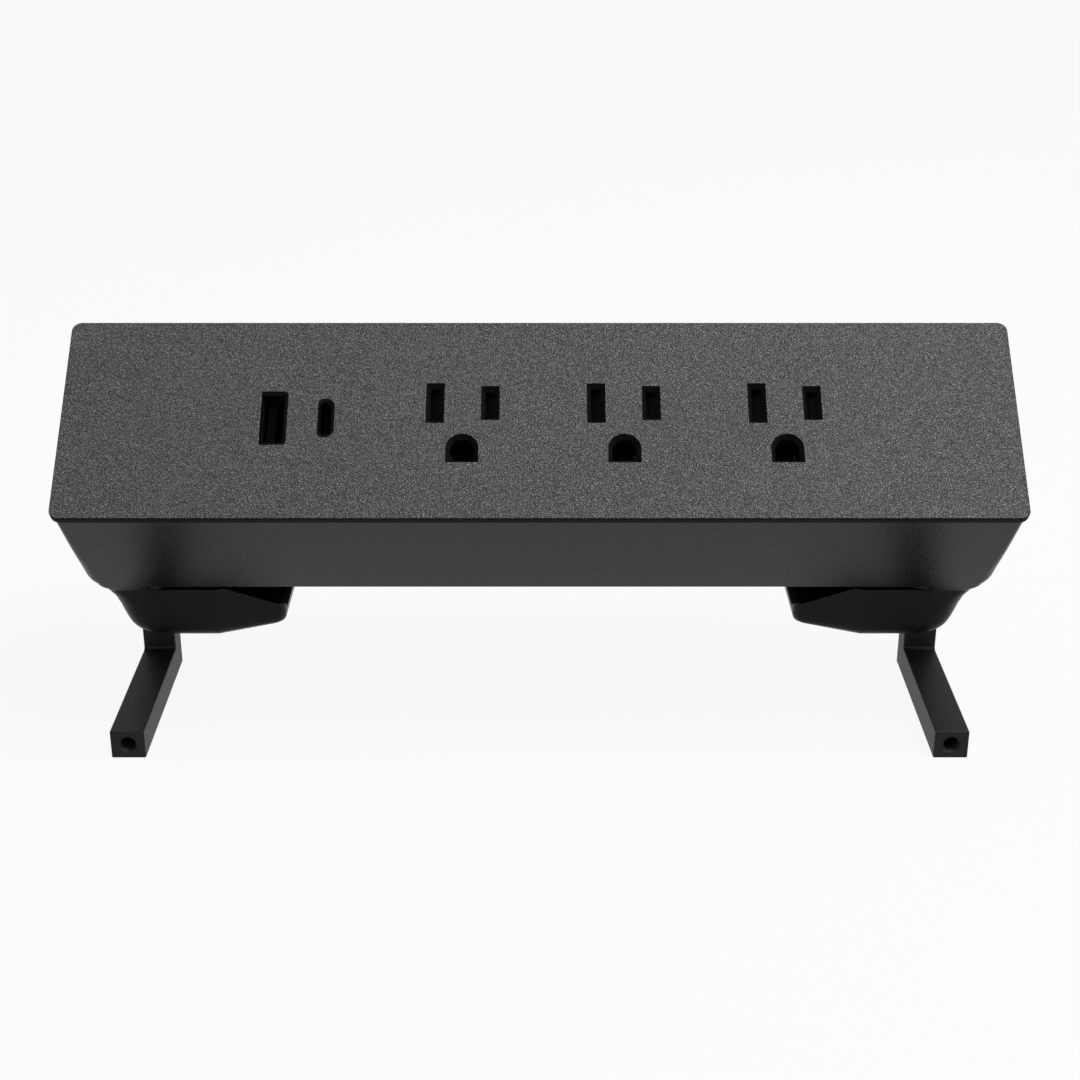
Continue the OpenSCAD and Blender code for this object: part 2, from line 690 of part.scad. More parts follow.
// A coil spring between the shutter and its pocket's end wall, one round wire along a helix
module shutter_spring(i) {
    x0 = shutter_x[1] - 1.5;
    x1 = shutter_x[1] + spring_room;
    steps = 10;
    sides = 6;
    rings = spring_turns * steps;
    pitch = (x1 - x0 - spring_wire) / spring_turns;
    mid_n = (shutter_top + shutter_back) / 2;
    pts = [for (i = [0:rings]) let (a = 360 * i / steps,
            centre = [x0 + spring_wire / 2 + pitch * i / steps, spring_r * cos(a), spring_r * sin(a)],
            out = [0, cos(a), sin(a)])
        for (k = [0:sides - 1]) let (b = -360 * k / sides)
            centre + spring_wire / 2 * (cos(b) * out + sin(b) * [1, 0, 0])];
    color("silver") on_face() translate([outlets[i], blade_v, mid_n])
        polyhedron(points = pts, faces = tube_faces(rings, sides), convexity = 10);
}

// ---------- USB module ----------

module usb_board() {
    color([0.06, 0.3, 0.16]) on_face() difference() {
        translate([board_x[0], board_v[0], board_back])
            cube([board_x[1] - board_x[0], board_v[1] - board_v[0], board_t]);
        for (x = board_screw_x, v = board_screw_v) translate([x, v, board_back - 1])
            cylinder(d = screw_d - 1 + 2 * screw_gap, h = board_t + 2);
    }
}

module board_screws() {
    color("silver") on_face() for (x = board_screw_x, v = board_screw_v)
        translate([x, v, board_back]) mirror([0, 0, 1]) screw(board_t + 6, screw_d - 1, head_d - 1.6, head_h - 0.4);
}

shell_top = plate_back - 0.1;
module usb_a_shell() {
    h = shell_top - board_n;
    color("silver") on_face() translate([usb_a_x, usb_v, board_n]) linear_extrude(height = h) difference() {
        square([usb_a_w + 2 * shell_t, usb_a_l + 2 * shell_t], center = true);
        square([usb_a_w, usb_a_l], center = true);
    }
}

module usb_a_tongue() {
    gap = 0.05;
    color([0.05, 0.05, 0.05]) on_face() translate([usb_a_x, usb_v, board_n]) {
        translate([-usb_a_w / 2 + gap, -usb_a_l / 2 + gap, 0])
            cube([usb_a_w - 2 * gap, usb_a_l - 2 * gap, 2.4]);
        translate([-1.6, -5.55, 0]) cube([1.9, 11.1, 11.2]);
    }
}

module stadium(w, l) {
    square([w, l - w], center = true);
    for (s = [-1, 1]) translate([0, s * (l - w) / 2]) circle(d = w);
}

module usb_c_shell() {
    h = shell_top - board_n;
    color("silver") on_face() translate([usb_c_x, usb_v, board_n]) linear_extrude(height = h) difference() {
        stadium(usb_c_w + 2 * shell_t, usb_c_l + 2 * shell_t);
        stadium(usb_c_w, usb_c_l);
    }
}

module usb_c_tongue() {
    gap = 0.05;
    color([0.05, 0.05, 0.05]) on_face() translate([usb_c_x, usb_v, board_n]) {
        linear_extrude(height = 4) stadium(usb_c_w - 2 * gap, usb_c_l - 2 * gap);
        translate([-0.35, -3.35, 0]) cube([0.7, 6.7, 11.4]);
    }
}

// Two E-shaped ferrite halves round a taped winding
module transformer() {
    h = 15;
    color([0.75, 0.65, 0.2]) on_face() translate([usb_a_x + 0.5, 20, board_back - h]) {
        difference() {
            translate([-9, -8, 0]) cube([18, 16, h]);
            for (s = [-1, 1]) translate([s * 7.5 - 2, -9, 3]) cube([4, 3.5, h - 6]);
            for (s = [-1, 1]) translate([s * 7.5 - 2, 5.5, 3]) cube([4, 3.5, h - 6]);
        }
    }
}

module capacitors() {
    color([0.1, 0.12, 0.2]) on_face() {
        for (v = [16, 28]) translate([usb_c_x + 2.6, v, board_back - 15]) difference() {
            cylinder(r = 4.6, h = 15);
            translate([0, 0, 1.4]) rotate_extrude() translate([4.6, 0]) circle(0.35);
        }
        translate([usb_a_x + 1, 36.5, board_back - 10]) cylinder(r = 3.2, h = 10);
    }
}

module power_chips() {
    color([0.04, 0.04, 0.04]) on_face() {
        translate([usb_a_x + 6.5, 34, board_back - 1.6]) cube([5, 6, 1.6]);
        translate([usb_a_x - 10, 34, board_back - 2.4]) cube([6, 6, 2.4]);
        translate([usb_a_x - 9, usb_v - 3, board_n]) cube([4, 5, 1.2]);
        translate([usb_c_x + 4, usb_v - 3, board_n]) cube([4, 4, 1]);
    }
}

// ---------- Wiring ----------

term_mid = (term_v[0] + term_v[1]) / 2;
term_ways = [for (i = [-1:1]) (term_x[0] + term_x[1]) / 2 + i * term_pitch];
way_n = body_floor + 4;

module terminal_block() {
    color([0.9, 0.9, 0.87]) on_face() difference() {
        translate([term_x[0], term_v[0], body_floor]) cube([term_x[1] - term_x[0], term_v[1] - term_v[0], term_h]);
        for (x = term_ways) {
            translate([x, term_v[0] - 1, way_n]) rotate([-90, 0, 0]) cylinder(d = 4.2, h = term_v[1] - term_v[0] + 2);
            for (v = [term_mid - 3, term_mid + 3]) translate([x, v, way_n])
                cylinder(d = 3.6 + 2 * screw_gap, h = term_h);
        }
    }
}

module terminal_screws() {
    color("silver") on_face() for (x = term_ways, v = [term_mid - 3, term_mid + 3])
        translate([x, v, way_n + 1.4]) difference() {
            cylinder(d = 3.6, h = term_h - 4 - 1.8);
            translate([-1.8, -0.4, term_h - 4 - 2.6]) cube([3.6, 0.8, 1]);
        }
}

tab_x = carrier_x[1] + tab_out - 1.3;
tab_n = carrier_back - lead_d / 2;

// A lead from a way of the terminal block up to the end of a strip: it leaves
// the block at start_v and swings out as far as swing_v
module strip_lead(way, start_v, swing_v, strip_v) {
    x = term_ways[way];
    on_face() lead([
        [x, start_v, way_n], [x + 2, swing_v, way_n - 2],
        [tab_x, strip_v + strip_w / 2, body_floor + 2], [tab_x, strip_v + strip_w / 2, carrier_back - 0.05]
    ]);
}

module usb_leads() {
    x0 = carrier_x[0] - tab_out + 1.2;
    color([0.15, 0.15, 0.16]) on_face() for (v = [neutral_strip_v, line_strip_v])
        lead([[x0, v + strip_w / 2, carrier_back - 0.05], [x0, v + strip_w / 2, carrier_back - 7],
              [board_x[1] - 2.2, v + 3, carrier_back - 7], [board_x[1] - 2.2, v + 3, board_back - 0.05]], 1.8);
}

module cord_gland() {
    color([0.07, 0.07, 0.07]) on_face() translate([gland_x, gland_v, -body_d]) difference() {
        union() {
            translate([0, 0, -gland_flange_t]) cylinder(r = gland_flange_r, h = gland_flange_t);
            translate([0, 0, -eps]) cylinder(r = gland_r, h = wall + gland_in);
        }
        translate([0, 0, -gland_flange_t - 1]) cylinder(d = gland_bore, h = wall + gland_in + gland_flange_t + 2);
    }
}

module gland_nut() {
    color([0.07, 0.07, 0.07]) on_face() translate([gland_x, gland_v, body_floor]) difference() {
        cylinder(r = gland_r + 2.6, h = gland_nut_t, $fn = 6);
        translate([0, 0, -1]) cylinder(r = gland_r + screw_gap, h = gland_nut_t + 2);
    }
}

// ---------- Nodes ----------

face_plate();
housing();
mirror([1, 0, 0]) sole_pad();  // left_sole_pad
sole_pad();  // right_sole_pad
mirror([1, 0, 0]) guide();  // left_guide
guide();  // right_guide
guide_screws();
mirror([1, 0, 0]) lock_screw();  // left_lock_screw
lock_screw();  // right_lock_screw
mirror([1, 0, 0]) arm();  // left_arm
arm();  // right_arm
mirror([1, 0, 0]) stop_screw();  // left_stop_screw
stop_screw();  // right_stop_screw
contact_carrier();
carrier_cover();
carrier_screws();
bus(-blade_half, blade_v, neutral_strip_v, 1.2);  // neutral_bus
bus(blade_half, blade_v, line_strip_v, 1.2);  // line_bus
bus(0, ground_v, ground_strip_v, 3.6);  // ground_bus
shutter(0);  // shutter_1
shutter(1);  // shutter_2
shutter(2);  // shutter_3
shutter_spring(0);  // shutter_spring_1
shutter_spring(1);  // shutter_spring_2
shutter_spring(2);  // shutter_spring_3
usb_board();
usb_a_shell();
usb_a_tongue();
usb_c_shell();
usb_c_tongue();
transformer();
capacitors();
power_chips();
board_screws();
terminal_block();
terminal_screws();
color([0.08, 0.08, 0.08]) strip_lead(2, term_v[1] - 0.8, term_v[1] + 7, line_strip_v);  // line_lead
color([0.9, 0.9, 0.9]) strip_lead(1, term_v[1] - 0.8, term_v[1] + 15, neutral_strip_v);  // neutral_lead
color([0.1, 0.45, 0.15]) strip_lead(0, term_v[0] + 0.8, term_v[0] - 10, ground_strip_v);  // ground_lead
usb_leads();
cord_gland();
gland_nut();
plate_screws();
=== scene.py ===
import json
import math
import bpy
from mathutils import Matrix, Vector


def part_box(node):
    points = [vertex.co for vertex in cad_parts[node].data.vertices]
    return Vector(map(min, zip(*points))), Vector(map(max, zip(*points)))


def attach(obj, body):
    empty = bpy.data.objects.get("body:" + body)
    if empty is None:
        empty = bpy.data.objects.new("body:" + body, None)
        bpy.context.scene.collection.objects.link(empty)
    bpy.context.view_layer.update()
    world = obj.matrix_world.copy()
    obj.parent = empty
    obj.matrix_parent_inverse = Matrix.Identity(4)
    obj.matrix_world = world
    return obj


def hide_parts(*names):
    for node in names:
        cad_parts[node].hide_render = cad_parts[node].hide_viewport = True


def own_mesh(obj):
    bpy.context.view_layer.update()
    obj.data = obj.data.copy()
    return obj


bl_info = {
    "name": "Desk-edge power strip",
    "version": (1, 0, 0),
    "blender": (4, 5, 0),
    "location": "View3D > Sidebar > Power strip",
    "description": "Surfaces and finishes of a desk-edge power strip, built round its packed frame",
    "category": "Object",
}

import bpy
import numpy as np
from mathutils import Vector

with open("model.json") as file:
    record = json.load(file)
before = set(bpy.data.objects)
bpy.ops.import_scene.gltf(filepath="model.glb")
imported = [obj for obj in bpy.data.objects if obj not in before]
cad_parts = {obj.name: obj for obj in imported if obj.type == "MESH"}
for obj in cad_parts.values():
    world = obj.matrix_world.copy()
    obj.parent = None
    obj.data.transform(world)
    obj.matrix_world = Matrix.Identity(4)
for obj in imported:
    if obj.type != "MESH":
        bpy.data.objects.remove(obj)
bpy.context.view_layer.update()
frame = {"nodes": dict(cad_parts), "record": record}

mm = 0.001
plate_low, plate_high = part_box("face_plate")
arm_low, arm_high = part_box("right_arm")
pad_low, pad_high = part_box("right_sole_pad")
guide_low, guide_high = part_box("right_guide")

far = 0.4  # further than any piece reaches, for a cutter that has no end of its own
rib_out = arm_low.x - 4 * mm  # the rib beside the arm's bay, its outer and inner side
rib_in = rib_out - 2 * mm
sides = {"right": np.array([1, 1, 1]), "left": np.array([-1, 1, 1])}  # turn a right piece to either side


# ---------- Sizes and colours ----------


class FaceSizes(bpy.types.PropertyGroup):
    length: bpy.props.FloatProperty(
        name="Length", description="Face plate, measured up its slope", default=52 * mm, unit="LENGTH"
    )
    thickness: bpy.props.FloatProperty(
        name="Thickness", description="Face plate, front to underside", default=2 * mm, unit="LENGTH"
    )
    corner: bpy.props.FloatProperty(
        name="Corner", description="Radius of the plate's corners", default=2.3 * mm, unit="LENGTH"
    )
    edge: bpy.props.FloatProperty(
        name="Edge", description="Width of the break along the plate's upper edge",
        default=0.2 * mm, unit="LENGTH",
    )
    edge_depth: bpy.props.FloatProperty(
        name="Edge depth", description="How deep that break goes", default=0.3 * mm, unit="LENGTH"
    )
    tilt: bpy.props.FloatProperty(
        name="Tilt", description="Angle of the face above level", default=math.radians(40), subtype="ANGLE"
    )
    chamfer: bpy.props.FloatProperty(
        name="Chamfer", description="Width of the chamfer round an outlet's holes",
        default=1.02 * mm, unit="LENGTH",
    )
    chamfer_depth: bpy.props.FloatProperty(
        name="Chamfer depth", description="How deep that chamfer goes", default=1.1 * mm, unit="LENGTH"
    )
    outlet_x: bpy.props.FloatProperty(
        name="First outlet", description="Place of the first outlet along X",
        default=-17.7 * mm, unit="LENGTH",
    )
    outlet_pitch: bpy.props.FloatProperty(
        name="Outlet pitch", description="Distance from outlet to outlet", default=37.1 * mm, unit="LENGTH"
    )
    blade_height: bpy.props.FloatProperty(
        name="Blade slots", description="Their distance up the slope", default=30 * mm, unit="LENGTH"
    )
    ground_drop: bpy.props.FloatProperty(
        name="Ground drop", description="From the blades down to the ground pin",
        default=11.9 * mm, unit="LENGTH",
    )


class HousingSizes(bpy.types.PropertyGroup):
    depth: bpy.props.FloatProperty(
        name="Depth", description="From the face to the underside", default=39 * mm, unit="LENGTH"
    )
    rim: bpy.props.FloatProperty(
        name="Rim", description="How far the housing stands in from the plate's long edges",
        default=1.5 * mm, unit="LENGTH",
    )
    side_rim: bpy.props.FloatProperty(
        name="Side rim", description="How far its ends stand in from the plate's ends",
        default=0.4 * mm, unit="LENGTH",
    )
    wall: bpy.props.FloatProperty(
        name="Wall", description="Wall of the housing", default=2 * mm, unit="LENGTH"
    )
    foot_height: bpy.props.FloatProperty(
        name="Foot height", description="Front lower edge above the soles", default=14.3 * mm, unit="LENGTH"
    )
    foot_width: bpy.props.FloatProperty(
        name="Foot width", description="A foot, side to side", default=42.5 * mm, unit="LENGTH"
    )
    foot_depth: bpy.props.FloatProperty(
        name="Foot depth", description="A foot, front to back", default=31.5 * mm, unit="LENGTH"
    )
    foot_set: bpy.props.FloatProperty(
        name="Ledge", description="How far a foot stands behind the front edge",
        default=2 * mm, unit="LENGTH",
    )
    foot_turn: bpy.props.FloatProperty(
        name="Turned length", description="Part of the foot's front that turns back",
        default=16.4 * mm, unit="LENGTH",
    )
    foot_back: bpy.props.FloatProperty(
        name="Turned depth", description="How far it turns back at its inner end",
        default=6 * mm, unit="LENGTH",
    )
    foot_wall: bpy.props.FloatProperty(
        name="Foot wall", description="Wall of a foot", default=1.8 * mm, unit="LENGTH"
    )
    floor: bpy.props.FloatProperty(
        name="Foot floor", description="Floor of a foot", default=2.6 * mm, unit="LENGTH"
    )
    lip: bpy.props.FloatProperty(
        name="Lip", description="Low inner side of a foot, above the sole", default=3.7 * mm, unit="LENGTH"
    )


class ArmSizes(bpy.types.PropertyGroup):
    edge: bpy.props.FloatProperty(
        name="Edge", description="Round along the bar's edges", default=0.3 * mm, unit="LENGTH"
    )
    inside: bpy.props.FloatProperty(
        name="Inside corner", description="Fillet where the bar turns up", default=0.9 * mm, unit="LENGTH"
    )
    tap: bpy.props.FloatProperty(
        name="Thread core", description="Core diameter of the thread in the tip",
        default=3.3 * mm, unit="LENGTH",
    )
    major: bpy.props.FloatProperty(
        name="Thread outside", description="Outer diameter of that thread", default=4 * mm, unit="LENGTH"
    )
    pitch: bpy.props.FloatProperty(
        name="Thread pitch", description="Rise of one turn", default=0.7 * mm, unit="LENGTH"
    )
    depth: bpy.props.FloatProperty(
        name="Thread depth", description="Depth of the tapped hole", default=12 * mm, unit="LENGTH"
    )


class Finishes(bpy.types.PropertyGroup):
    plate: bpy.props.FloatVectorProperty(
        name="Plate", description="Grained black plastic of the face", default=(0.045, 0.045, 0.046),
        subtype="COLOR", min=0, max=1,
    )
    housing: bpy.props.FloatVectorProperty(
        name="Housing", description="Black plastic of housing and feet", default=(0.0035, 0.0035, 0.0036),
        subtype="COLOR", min=0, max=1,
    )
    arm: bpy.props.FloatVectorProperty(
        name="Arms", description="Black powder coat of the arms", default=(0.005, 0.005, 0.0051),
        subtype="COLOR", min=0, max=1,
    )
    grain: bpy.props.FloatProperty(
        name="Grain", description="Size of the plate's pebble grain", default=0.42 * mm, unit="LENGTH"
    )
    grain_depth: bpy.props.FloatProperty(
        name="Grain depth", description="Height of that grain", default=0.36 * mm, unit="LENGTH"
    )


# ---------- Curves and surfaces ----------


def smooth_curve(at, xs, ys):
    """Values of a smooth, monotone curve through the pairs xs, ys: cubic pieces whose slope at an inner
    pair is the harmonic mean of the slopes on its two sides, or nought where the curve turns back."""
    xs, ys = np.asarray(xs, float), np.asarray(ys, float)
    step = np.diff(xs)
    slope = np.diff(ys) / step
    product = slope[1:] * slope[:-1]
    total = np.where(product > 0, slope[1:] + slope[:-1], 1.0)
    tangent = np.concatenate([slope[:1], np.where(product > 0, 2 * product / total, 0), slope[-1:]])
    k = np.clip(np.searchsorted(xs, at, side="right") - 1, 0, len(xs) - 2)
    t = (at - xs[k]) / step[k]
    start, end = (1 + 2 * t) * (1 - t) ** 2, t * t * (3 - 2 * t)
    leave, arrive = t * (1 - t) ** 2, t * t * (t - 1)
    return start * ys[k] + end * ys[k + 1] + step[k] * (leave * tangent[k] + arrive * tangent[k + 1])


def rounded(corners, radii, out=0.0, steps=7, grow=True):
    """A closed outline of straight sides and arcs, counter-clockwise. Each corner moves out along its
    mitre; its arc's centre lies on the bisector, the radius over the sine of half the corner's angle
    away, and the arc runs between the points where the circle touches the two sides. The radii grow
    with the move, or a sharp corner (grow False) stays a mitre."""
    p = np.asarray(corners, float)
    ahead = np.roll(p, -1, 0) - p
    ahead /= np.linalg.norm(ahead, axis=1)[:, None]
    behind = np.roll(ahead, 1, 0)
    normal = np.stack([ahead[:, 1], -ahead[:, 0]], 1)
    before = np.roll(normal, 1, 0)
    p = p + out * (normal + before) / (1 + (normal * before).sum(1))[:, None]
    turn = behind[:, 0] * ahead[:, 1] - behind[:, 1] * ahead[:, 0]
    more = out * np.sign(turn) * np.asarray(grow, float)
    r = np.maximum(np.broadcast_to(np.asarray(radii, float), len(p)) + more, 0.02 * mm)
    half = np.arccos(np.clip(-(behind * ahead).sum(1), -1, 1)) / 2
    bisector = ahead - behind
    bisector /= np.linalg.norm(bisector, axis=1)[:, None]
    centre = p + bisector * (r / np.sin(half))[:, None]
    touch = (r / np.tan(half))[:, None]
    a, b = p - behind * touch - centre, p + ahead * touch - centre
    start = np.arctan2(a[:, 1], a[:, 0])
    sweep = (np.arctan2(b[:, 1], b[:, 0]) - start + math.pi) % (2 * math.pi) - math.pi
    angle = start[:, None] + sweep[:, None] * np.linspace(0, 1, steps)
    ring = centre[:, None] + r[:, None, None] * np.stack([np.cos(angle), np.sin(angle)], -1)
    return ring.reshape(-1, 2)


def box_corners(low, high):
    """The four corners of a rectangle, counter-clockwise"""
    return [(low[0], low[1]), (high[0], low[1]), (high[0], high[1]), (low[0], high[1])]


def stack(corners, radii, levels, steps=7, grow=True):
    """Rings of one outline, each moved out and raised by its pair in levels"""
    rings = []
    for out, height in levels:
        ring = rounded(corners, radii, out, steps, grow)
        rings.append(np.column_stack([ring, np.full(len(ring), height)]))
    return np.array(rings)


def disc_rings(levels, around=32, centre=(0, 0)):
    """Rings of a turned shape: each pair in levels is a radius and a height"""
    angle = np.arange(around) * 2 * math.pi / around
    r, h = np.array(levels, float).T
    x = centre[0] + r[:, None] * np.cos(angle)
    y = centre[1] + r[:, None] * np.sin(angle)
    return np.stack([x, y, np.broadcast_to(h[:, None], x.shape)], -1)


def on_face(points):
    """Face coordinates (across, up the slope, out of the face) turned by the tilt about X, then moved
    so that their origin is the middle of the plate's lower edge."""
    face = bpy.context.scene.strip_face
    c, s = math.cos(face.tilt), math.sin(face.tilt)
    x, v, n = np.moveaxis(np.asarray(points, float), -1, 0)
    foot_z = plate_high.z - face.length * s
    return np.stack([x, plate_low.y + v * c - n * s, foot_z + v * s + n * c], -1)


def loft(rings):
    """A closed skin: quads from each ring to the next and a flat cap on both ends, wound so that the
    sum of its signed tetrahedra is positive."""
    rings = np.asarray(rings, float)
    count, around = rings.shape[:2]
    points = rings.reshape(-1, 3)
    base = (np.arange(count - 1) * around)[:, None]
    a, b = np.arange(around), (np.arange(around) + 1) % around
    quads = np.stack([base + a, base + b, base + around + b, base + around + a], -1).reshape(-1, 4)
    caps = [np.arange(around)[::-1], np.arange(around) + (count - 1) * around]
    fans = [np.stack([np.full(around - 2, c[0]), c[1:-1], c[2:]], 1) for c in caps]
    triangles = np.concatenate([quads[:, :3], quads[:, [0, 2, 3]], *fans])
    p, q, r = (points[triangles[:, i]] for i in range(3))
    faces = quads.tolist() + [c.tolist() for c in caps]
    if (p * np.cross(q, r)).sum() < 0:
        faces = [face[::-1] for face in faces]
    return points, faces


def solid(name, *skins):
    """An object that holds the given lofts side by side; none of them may touch another"""
    points, faces, first = [], [], 0
    for skin in skins:
        p, f = loft(skin)
        points.append(p)
        faces += [[i + first for i in face] for face in f]
        first += len(p)
    mesh = bpy.data.meshes.new(name)
    mesh.from_pydata(np.concatenate(points).tolist(), [], faces)
    mesh.validate()
    obj = bpy.data.objects.new(name, mesh)
    bpy.context.scene.collection.objects.link(obj)
    return obj


def block(name, low, high, place=np.asarray):
    """A plain box, used only as a cutter; place turns its corners into the frame, as on_face does"""
    ring = np.array(box_corners(low, high))
    return solid(name, place([np.column_stack([ring, np.full(4, z)]) for z in (low[2], high[2])]))


def combine(target, operation, other):
    """Takes other out of target (DIFFERENCE), joins it on (UNION) or keeps what both hold (INTERSECT)"""
    step = target.modifiers.new("combine", "BOOLEAN")
    step.operation = operation
    step.solver = "MANIFOLD"
    step.object = other
    graph = bpy.context.evaluated_depsgraph_get()
    made = bpy.data.meshes.new_from_object(target.evaluated_get(graph), depsgraph=graph)
    target.modifiers.clear()
    old = target.data
    target.data = made
    bpy.data.meshes.remove(old)
    bpy.data.objects.remove(other)
    if not made.polygons:
        raise RuntimeError(f"{target.name}: nothing is left after {operation}")


def finish_piece(obj, body, nodes, material, angle=32):
    """Shades a piece smooth but for edges over the angle, lets large flat faces set the normals beside
    them, gives it its body and its material in a slot, and hides the CAD nodes that it stands in for."""
    mesh = obj.data
    mesh.polygons.foreach_set("use_smooth", np.ones(len(mesh.polygons), bool))
    mesh.set_sharp_from_angle(angle=math.radians(angle))
    normals = obj.modifiers.new("flat faces lead", "WEIGHTED_NORMAL")
    normals.keep_sharp = True
    mesh.materials.clear()
    mesh.materials.append(material)
    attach(obj, body)
    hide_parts(*nodes)


# ---------- Materials ----------


class Wire:
    """A socket, or the result of a sum on sockets. Python's arithmetic on it adds Math nodes."""

    def __init__(self, nodes, socket):
        self.nodes = nodes
        self.socket = socket

    def maths(self, operation, *terms):
        return self.nodes.node("ShaderNodeMath", {"operation": operation}, dict(enumerate(terms)))

    def __add__(self, other):
        return self.maths("ADD", self, other)

    __radd__ = __add__

    def __sub__(self, other):
        return self.maths("SUBTRACT", self, other)

    def __rsub__(self, other):
        return self.maths("SUBTRACT", other, self)

    def __mul__(self, other):
        return self.maths("MULTIPLY", self, other)

    __rmul__ = __mul__

    def clamp(self, low, high):
        return self.maths("MINIMUM", self.maths("MAXIMUM", self, low), high)


class Nodes:
    """A node tree, to which one method adds every node"""

    def __init__(self, tree):
        self.tree = tree

    def node(self, kind, settings=None, inputs=None, output=0):
        """Adds a node: its settings first, then its sockets' values or links"""
        made = self.tree.nodes.new(kind)
        for key, value in (settings or {}).items():
            setattr(made, key, value)
        for key, value in (inputs or {}).items():
            if isinstance(value, Wire):
                self.tree.links.new(value.socket, made.inputs[key])
            else:
                made.inputs[key].default_value = value
        return Wire(self, made.outputs[output])

    def straight_seen(self):
        """1 for rays from the camera, off a mirror or through glass; 0 for rays that light things"""
        kinds = ("Is Camera Ray", "Is Glossy Ray", "Is Transmission Ray")
        camera, mirror, glass = (self.node("ShaderNodeLightPath", output=kind) for kind in kinds)
        return (camera + mirror + glass).clamp(0, 1)


class Finish(Nodes):
    """One procedural material on Object coordinates"""

    def __init__(self, name):
        self.material = bpy.data.materials.new(name)
        self.material.use_nodes = True
        super().__init__(self.material.node_tree)
        self.shader = next(n for n in self.tree.nodes if n.type == "BSDF_PRINCIPLED")
        self.place = self.node("ShaderNodeTexCoord", output="Object")

    def noise(self, size, detail, rough, place=None):
        sockets = {"Vector": place or self.place, "Scale": 1 / size, "Detail": detail, "Roughness": rough}
        return self.node("ShaderNodeTexNoise", inputs=sockets)

    def cells(self, size, smooth):
        """Distance to the nearest of scattered points, one to each cell of the given size"""
        sockets = {"Vector": self.place, "Scale": 1 / size, "Smoothness": smooth}
        return self.node("ShaderNodeTexVoronoi", {"feature": "SMOOTH_F1"}, sockets, "Distance")

    def stretched(self, scale):
        """Object coordinates drawn out along an axis, for brushed and extruded finishes"""
        return self.node("ShaderNodeMapping", inputs={"Vector": self.place, "Scale": scale})

    def mix(self, factor, a, b):
        """Colour a where the factor is 0, colour b where it is 1"""
        return self.node("ShaderNodeMix", {"data_type": "RGBA"}, {0: factor, 6: (*a, 1), 7: (*b, 1)}, 2)

    def relief(self, height, depth):
        """A bump of that depth in metres where the height goes from 0 to 1"""
        return self.node("ShaderNodeBump", inputs={"Height": height, "Distance": depth}, output="Normal")

    def surface(self, **sockets):
        """Sets or links the shader's sockets, named with spaces as underscores"""
        for key, value in sockets.items():
            socket = self.shader.inputs[key.replace("_", " ")]
            if isinstance(value, Wire):
                self.tree.links.new(value.socket, socket)
            else:
                socket.default_value = (*value, 1) if socket.type == "RGBA" else value
        return self.material


def shade(colour, amount):
    """The colour times an amount, at most white"""
    return tuple(min(1, c * amount) for c in colour)


def grained_plate_painted_glints(colour, grain, depth):
    """Moulded plastic with a pebble grain: rounded cells with a finer noise on them, the noise stretched
    about its middle value, and a slow drift of colour from the mould's polish. The grain's colour runs
    very light and dark: partly its own random colour, partly painted glints of light on the grain."""
    f = Finish("grained_plate_painted_glints")
    contrast = 5.5
    pebbles = f.cells(grain, 0.4)
    fine = f.noise(grain * 0.62, 0.4, 0.5, f.stretched((1, 1.25, 0.8)))
    fine = ((fine - 0.5) * contrast + 0.5).clamp(0, 1)
    drift = f.noise(38 * mm, 2, 0.5)
    # painted glints: the grain's colour runs from near black to three times the plate's colour, partly the
    # grain's own random colour and partly standing in for the grain catching the light
    grain_tone_and_glints = (fine * 0.8 + (1 - pebbles) * 0.1 + drift * 0.1).clamp(0, 1)
    return f.surface(
        Base_Color=f.mix(grain_tone_and_glints, shade(colour, 0.01), shade(colour, 3.0)),
        Roughness=(0.3 + 0.12 * fine).clamp(0, 1),
        Specular_IOR_Level=0.35,
        Normal=f.relief(pebbles * 0.4 + fine, depth),
    )


def moulded(name, colour, rough, grain, depth, level=0.5):
    """Plain moulded plastic: a light spark-eroded texture and a faint cloudiness"""
    f = Finish(name)
    spark = f.noise(grain, 3, 0.6)
    cloud = f.noise(18 * mm, 2, 0.5)
    return f.surface(
        Base_Color=f.mix(cloud, shade(colour, 0.82), shade(colour, 1.18)),
        Roughness=(rough - 0.06 + 0.12 * spark).clamp(0, 1),
        Specular_IOR_Level=level,
        Normal=f.relief(spark, depth),
    )


def powder_coat(colour):
    """Powder paint on steel: a fine orange peel and darker specks"""
    f = Finish("powder_coat")
    peel = f.noise(0.5 * mm, 2, 0.5)
    speck = f.noise(0.16 * mm, 1, 0.5)
    return f.surface(
        Base_Color=f.mix(speck, shade(colour, 0.75), shade(colour, 1.25)),
        Roughness=(0.42 + 0.12 * peel).clamp(0, 1),
        Specular_IOR_Level=0.18,
        Normal=f.relief(peel * 0.7 + speck * 0.3, 0.12 * mm),
    )


def metal(name, colour, rough, drawn=(1, 1, 1), size=0.4 * mm, tarnish=0.25):
    """Bare metal: fine lines along the way it was drawn, and a cloudy tarnish that dulls it in places"""
    f = Finish(name)
    lines = f.noise(size, 3, 0.6, f.stretched(drawn))
    cloud = f.noise(3 * mm, 3, 0.6)
    return f.surface(
        Base_Color=f.mix((cloud * tarnish).clamp(0, 1), colour, shade(colour, 0.45)),
        Metallic=1.0,
        Roughness=(rough + 0.18 * (lines - 0.5) + 0.12 * (cloud - 0.5)).clamp(0.05, 1),
        Normal=f.relief(lines, 0.004 * mm),
    )


def rubber(colour):
    """Soft matt rubber: a dry bloom over a fine pitted skin"""
    f = Finish("sole_rubber")
    pits = f.noise(0.35 * mm, 3, 0.6)
    bloom = f.noise(6 * mm, 3, 0.55)
    return f.surface(
        Base_Color=f.mix(bloom, colour, shade(colour, 1.9)),
        Roughness=(0.78 + 0.15 * pits).clamp(0, 1),
        Specular_IOR_Level=0.3,
        Normal=f.relief(pits, 0.03 * mm),
    )


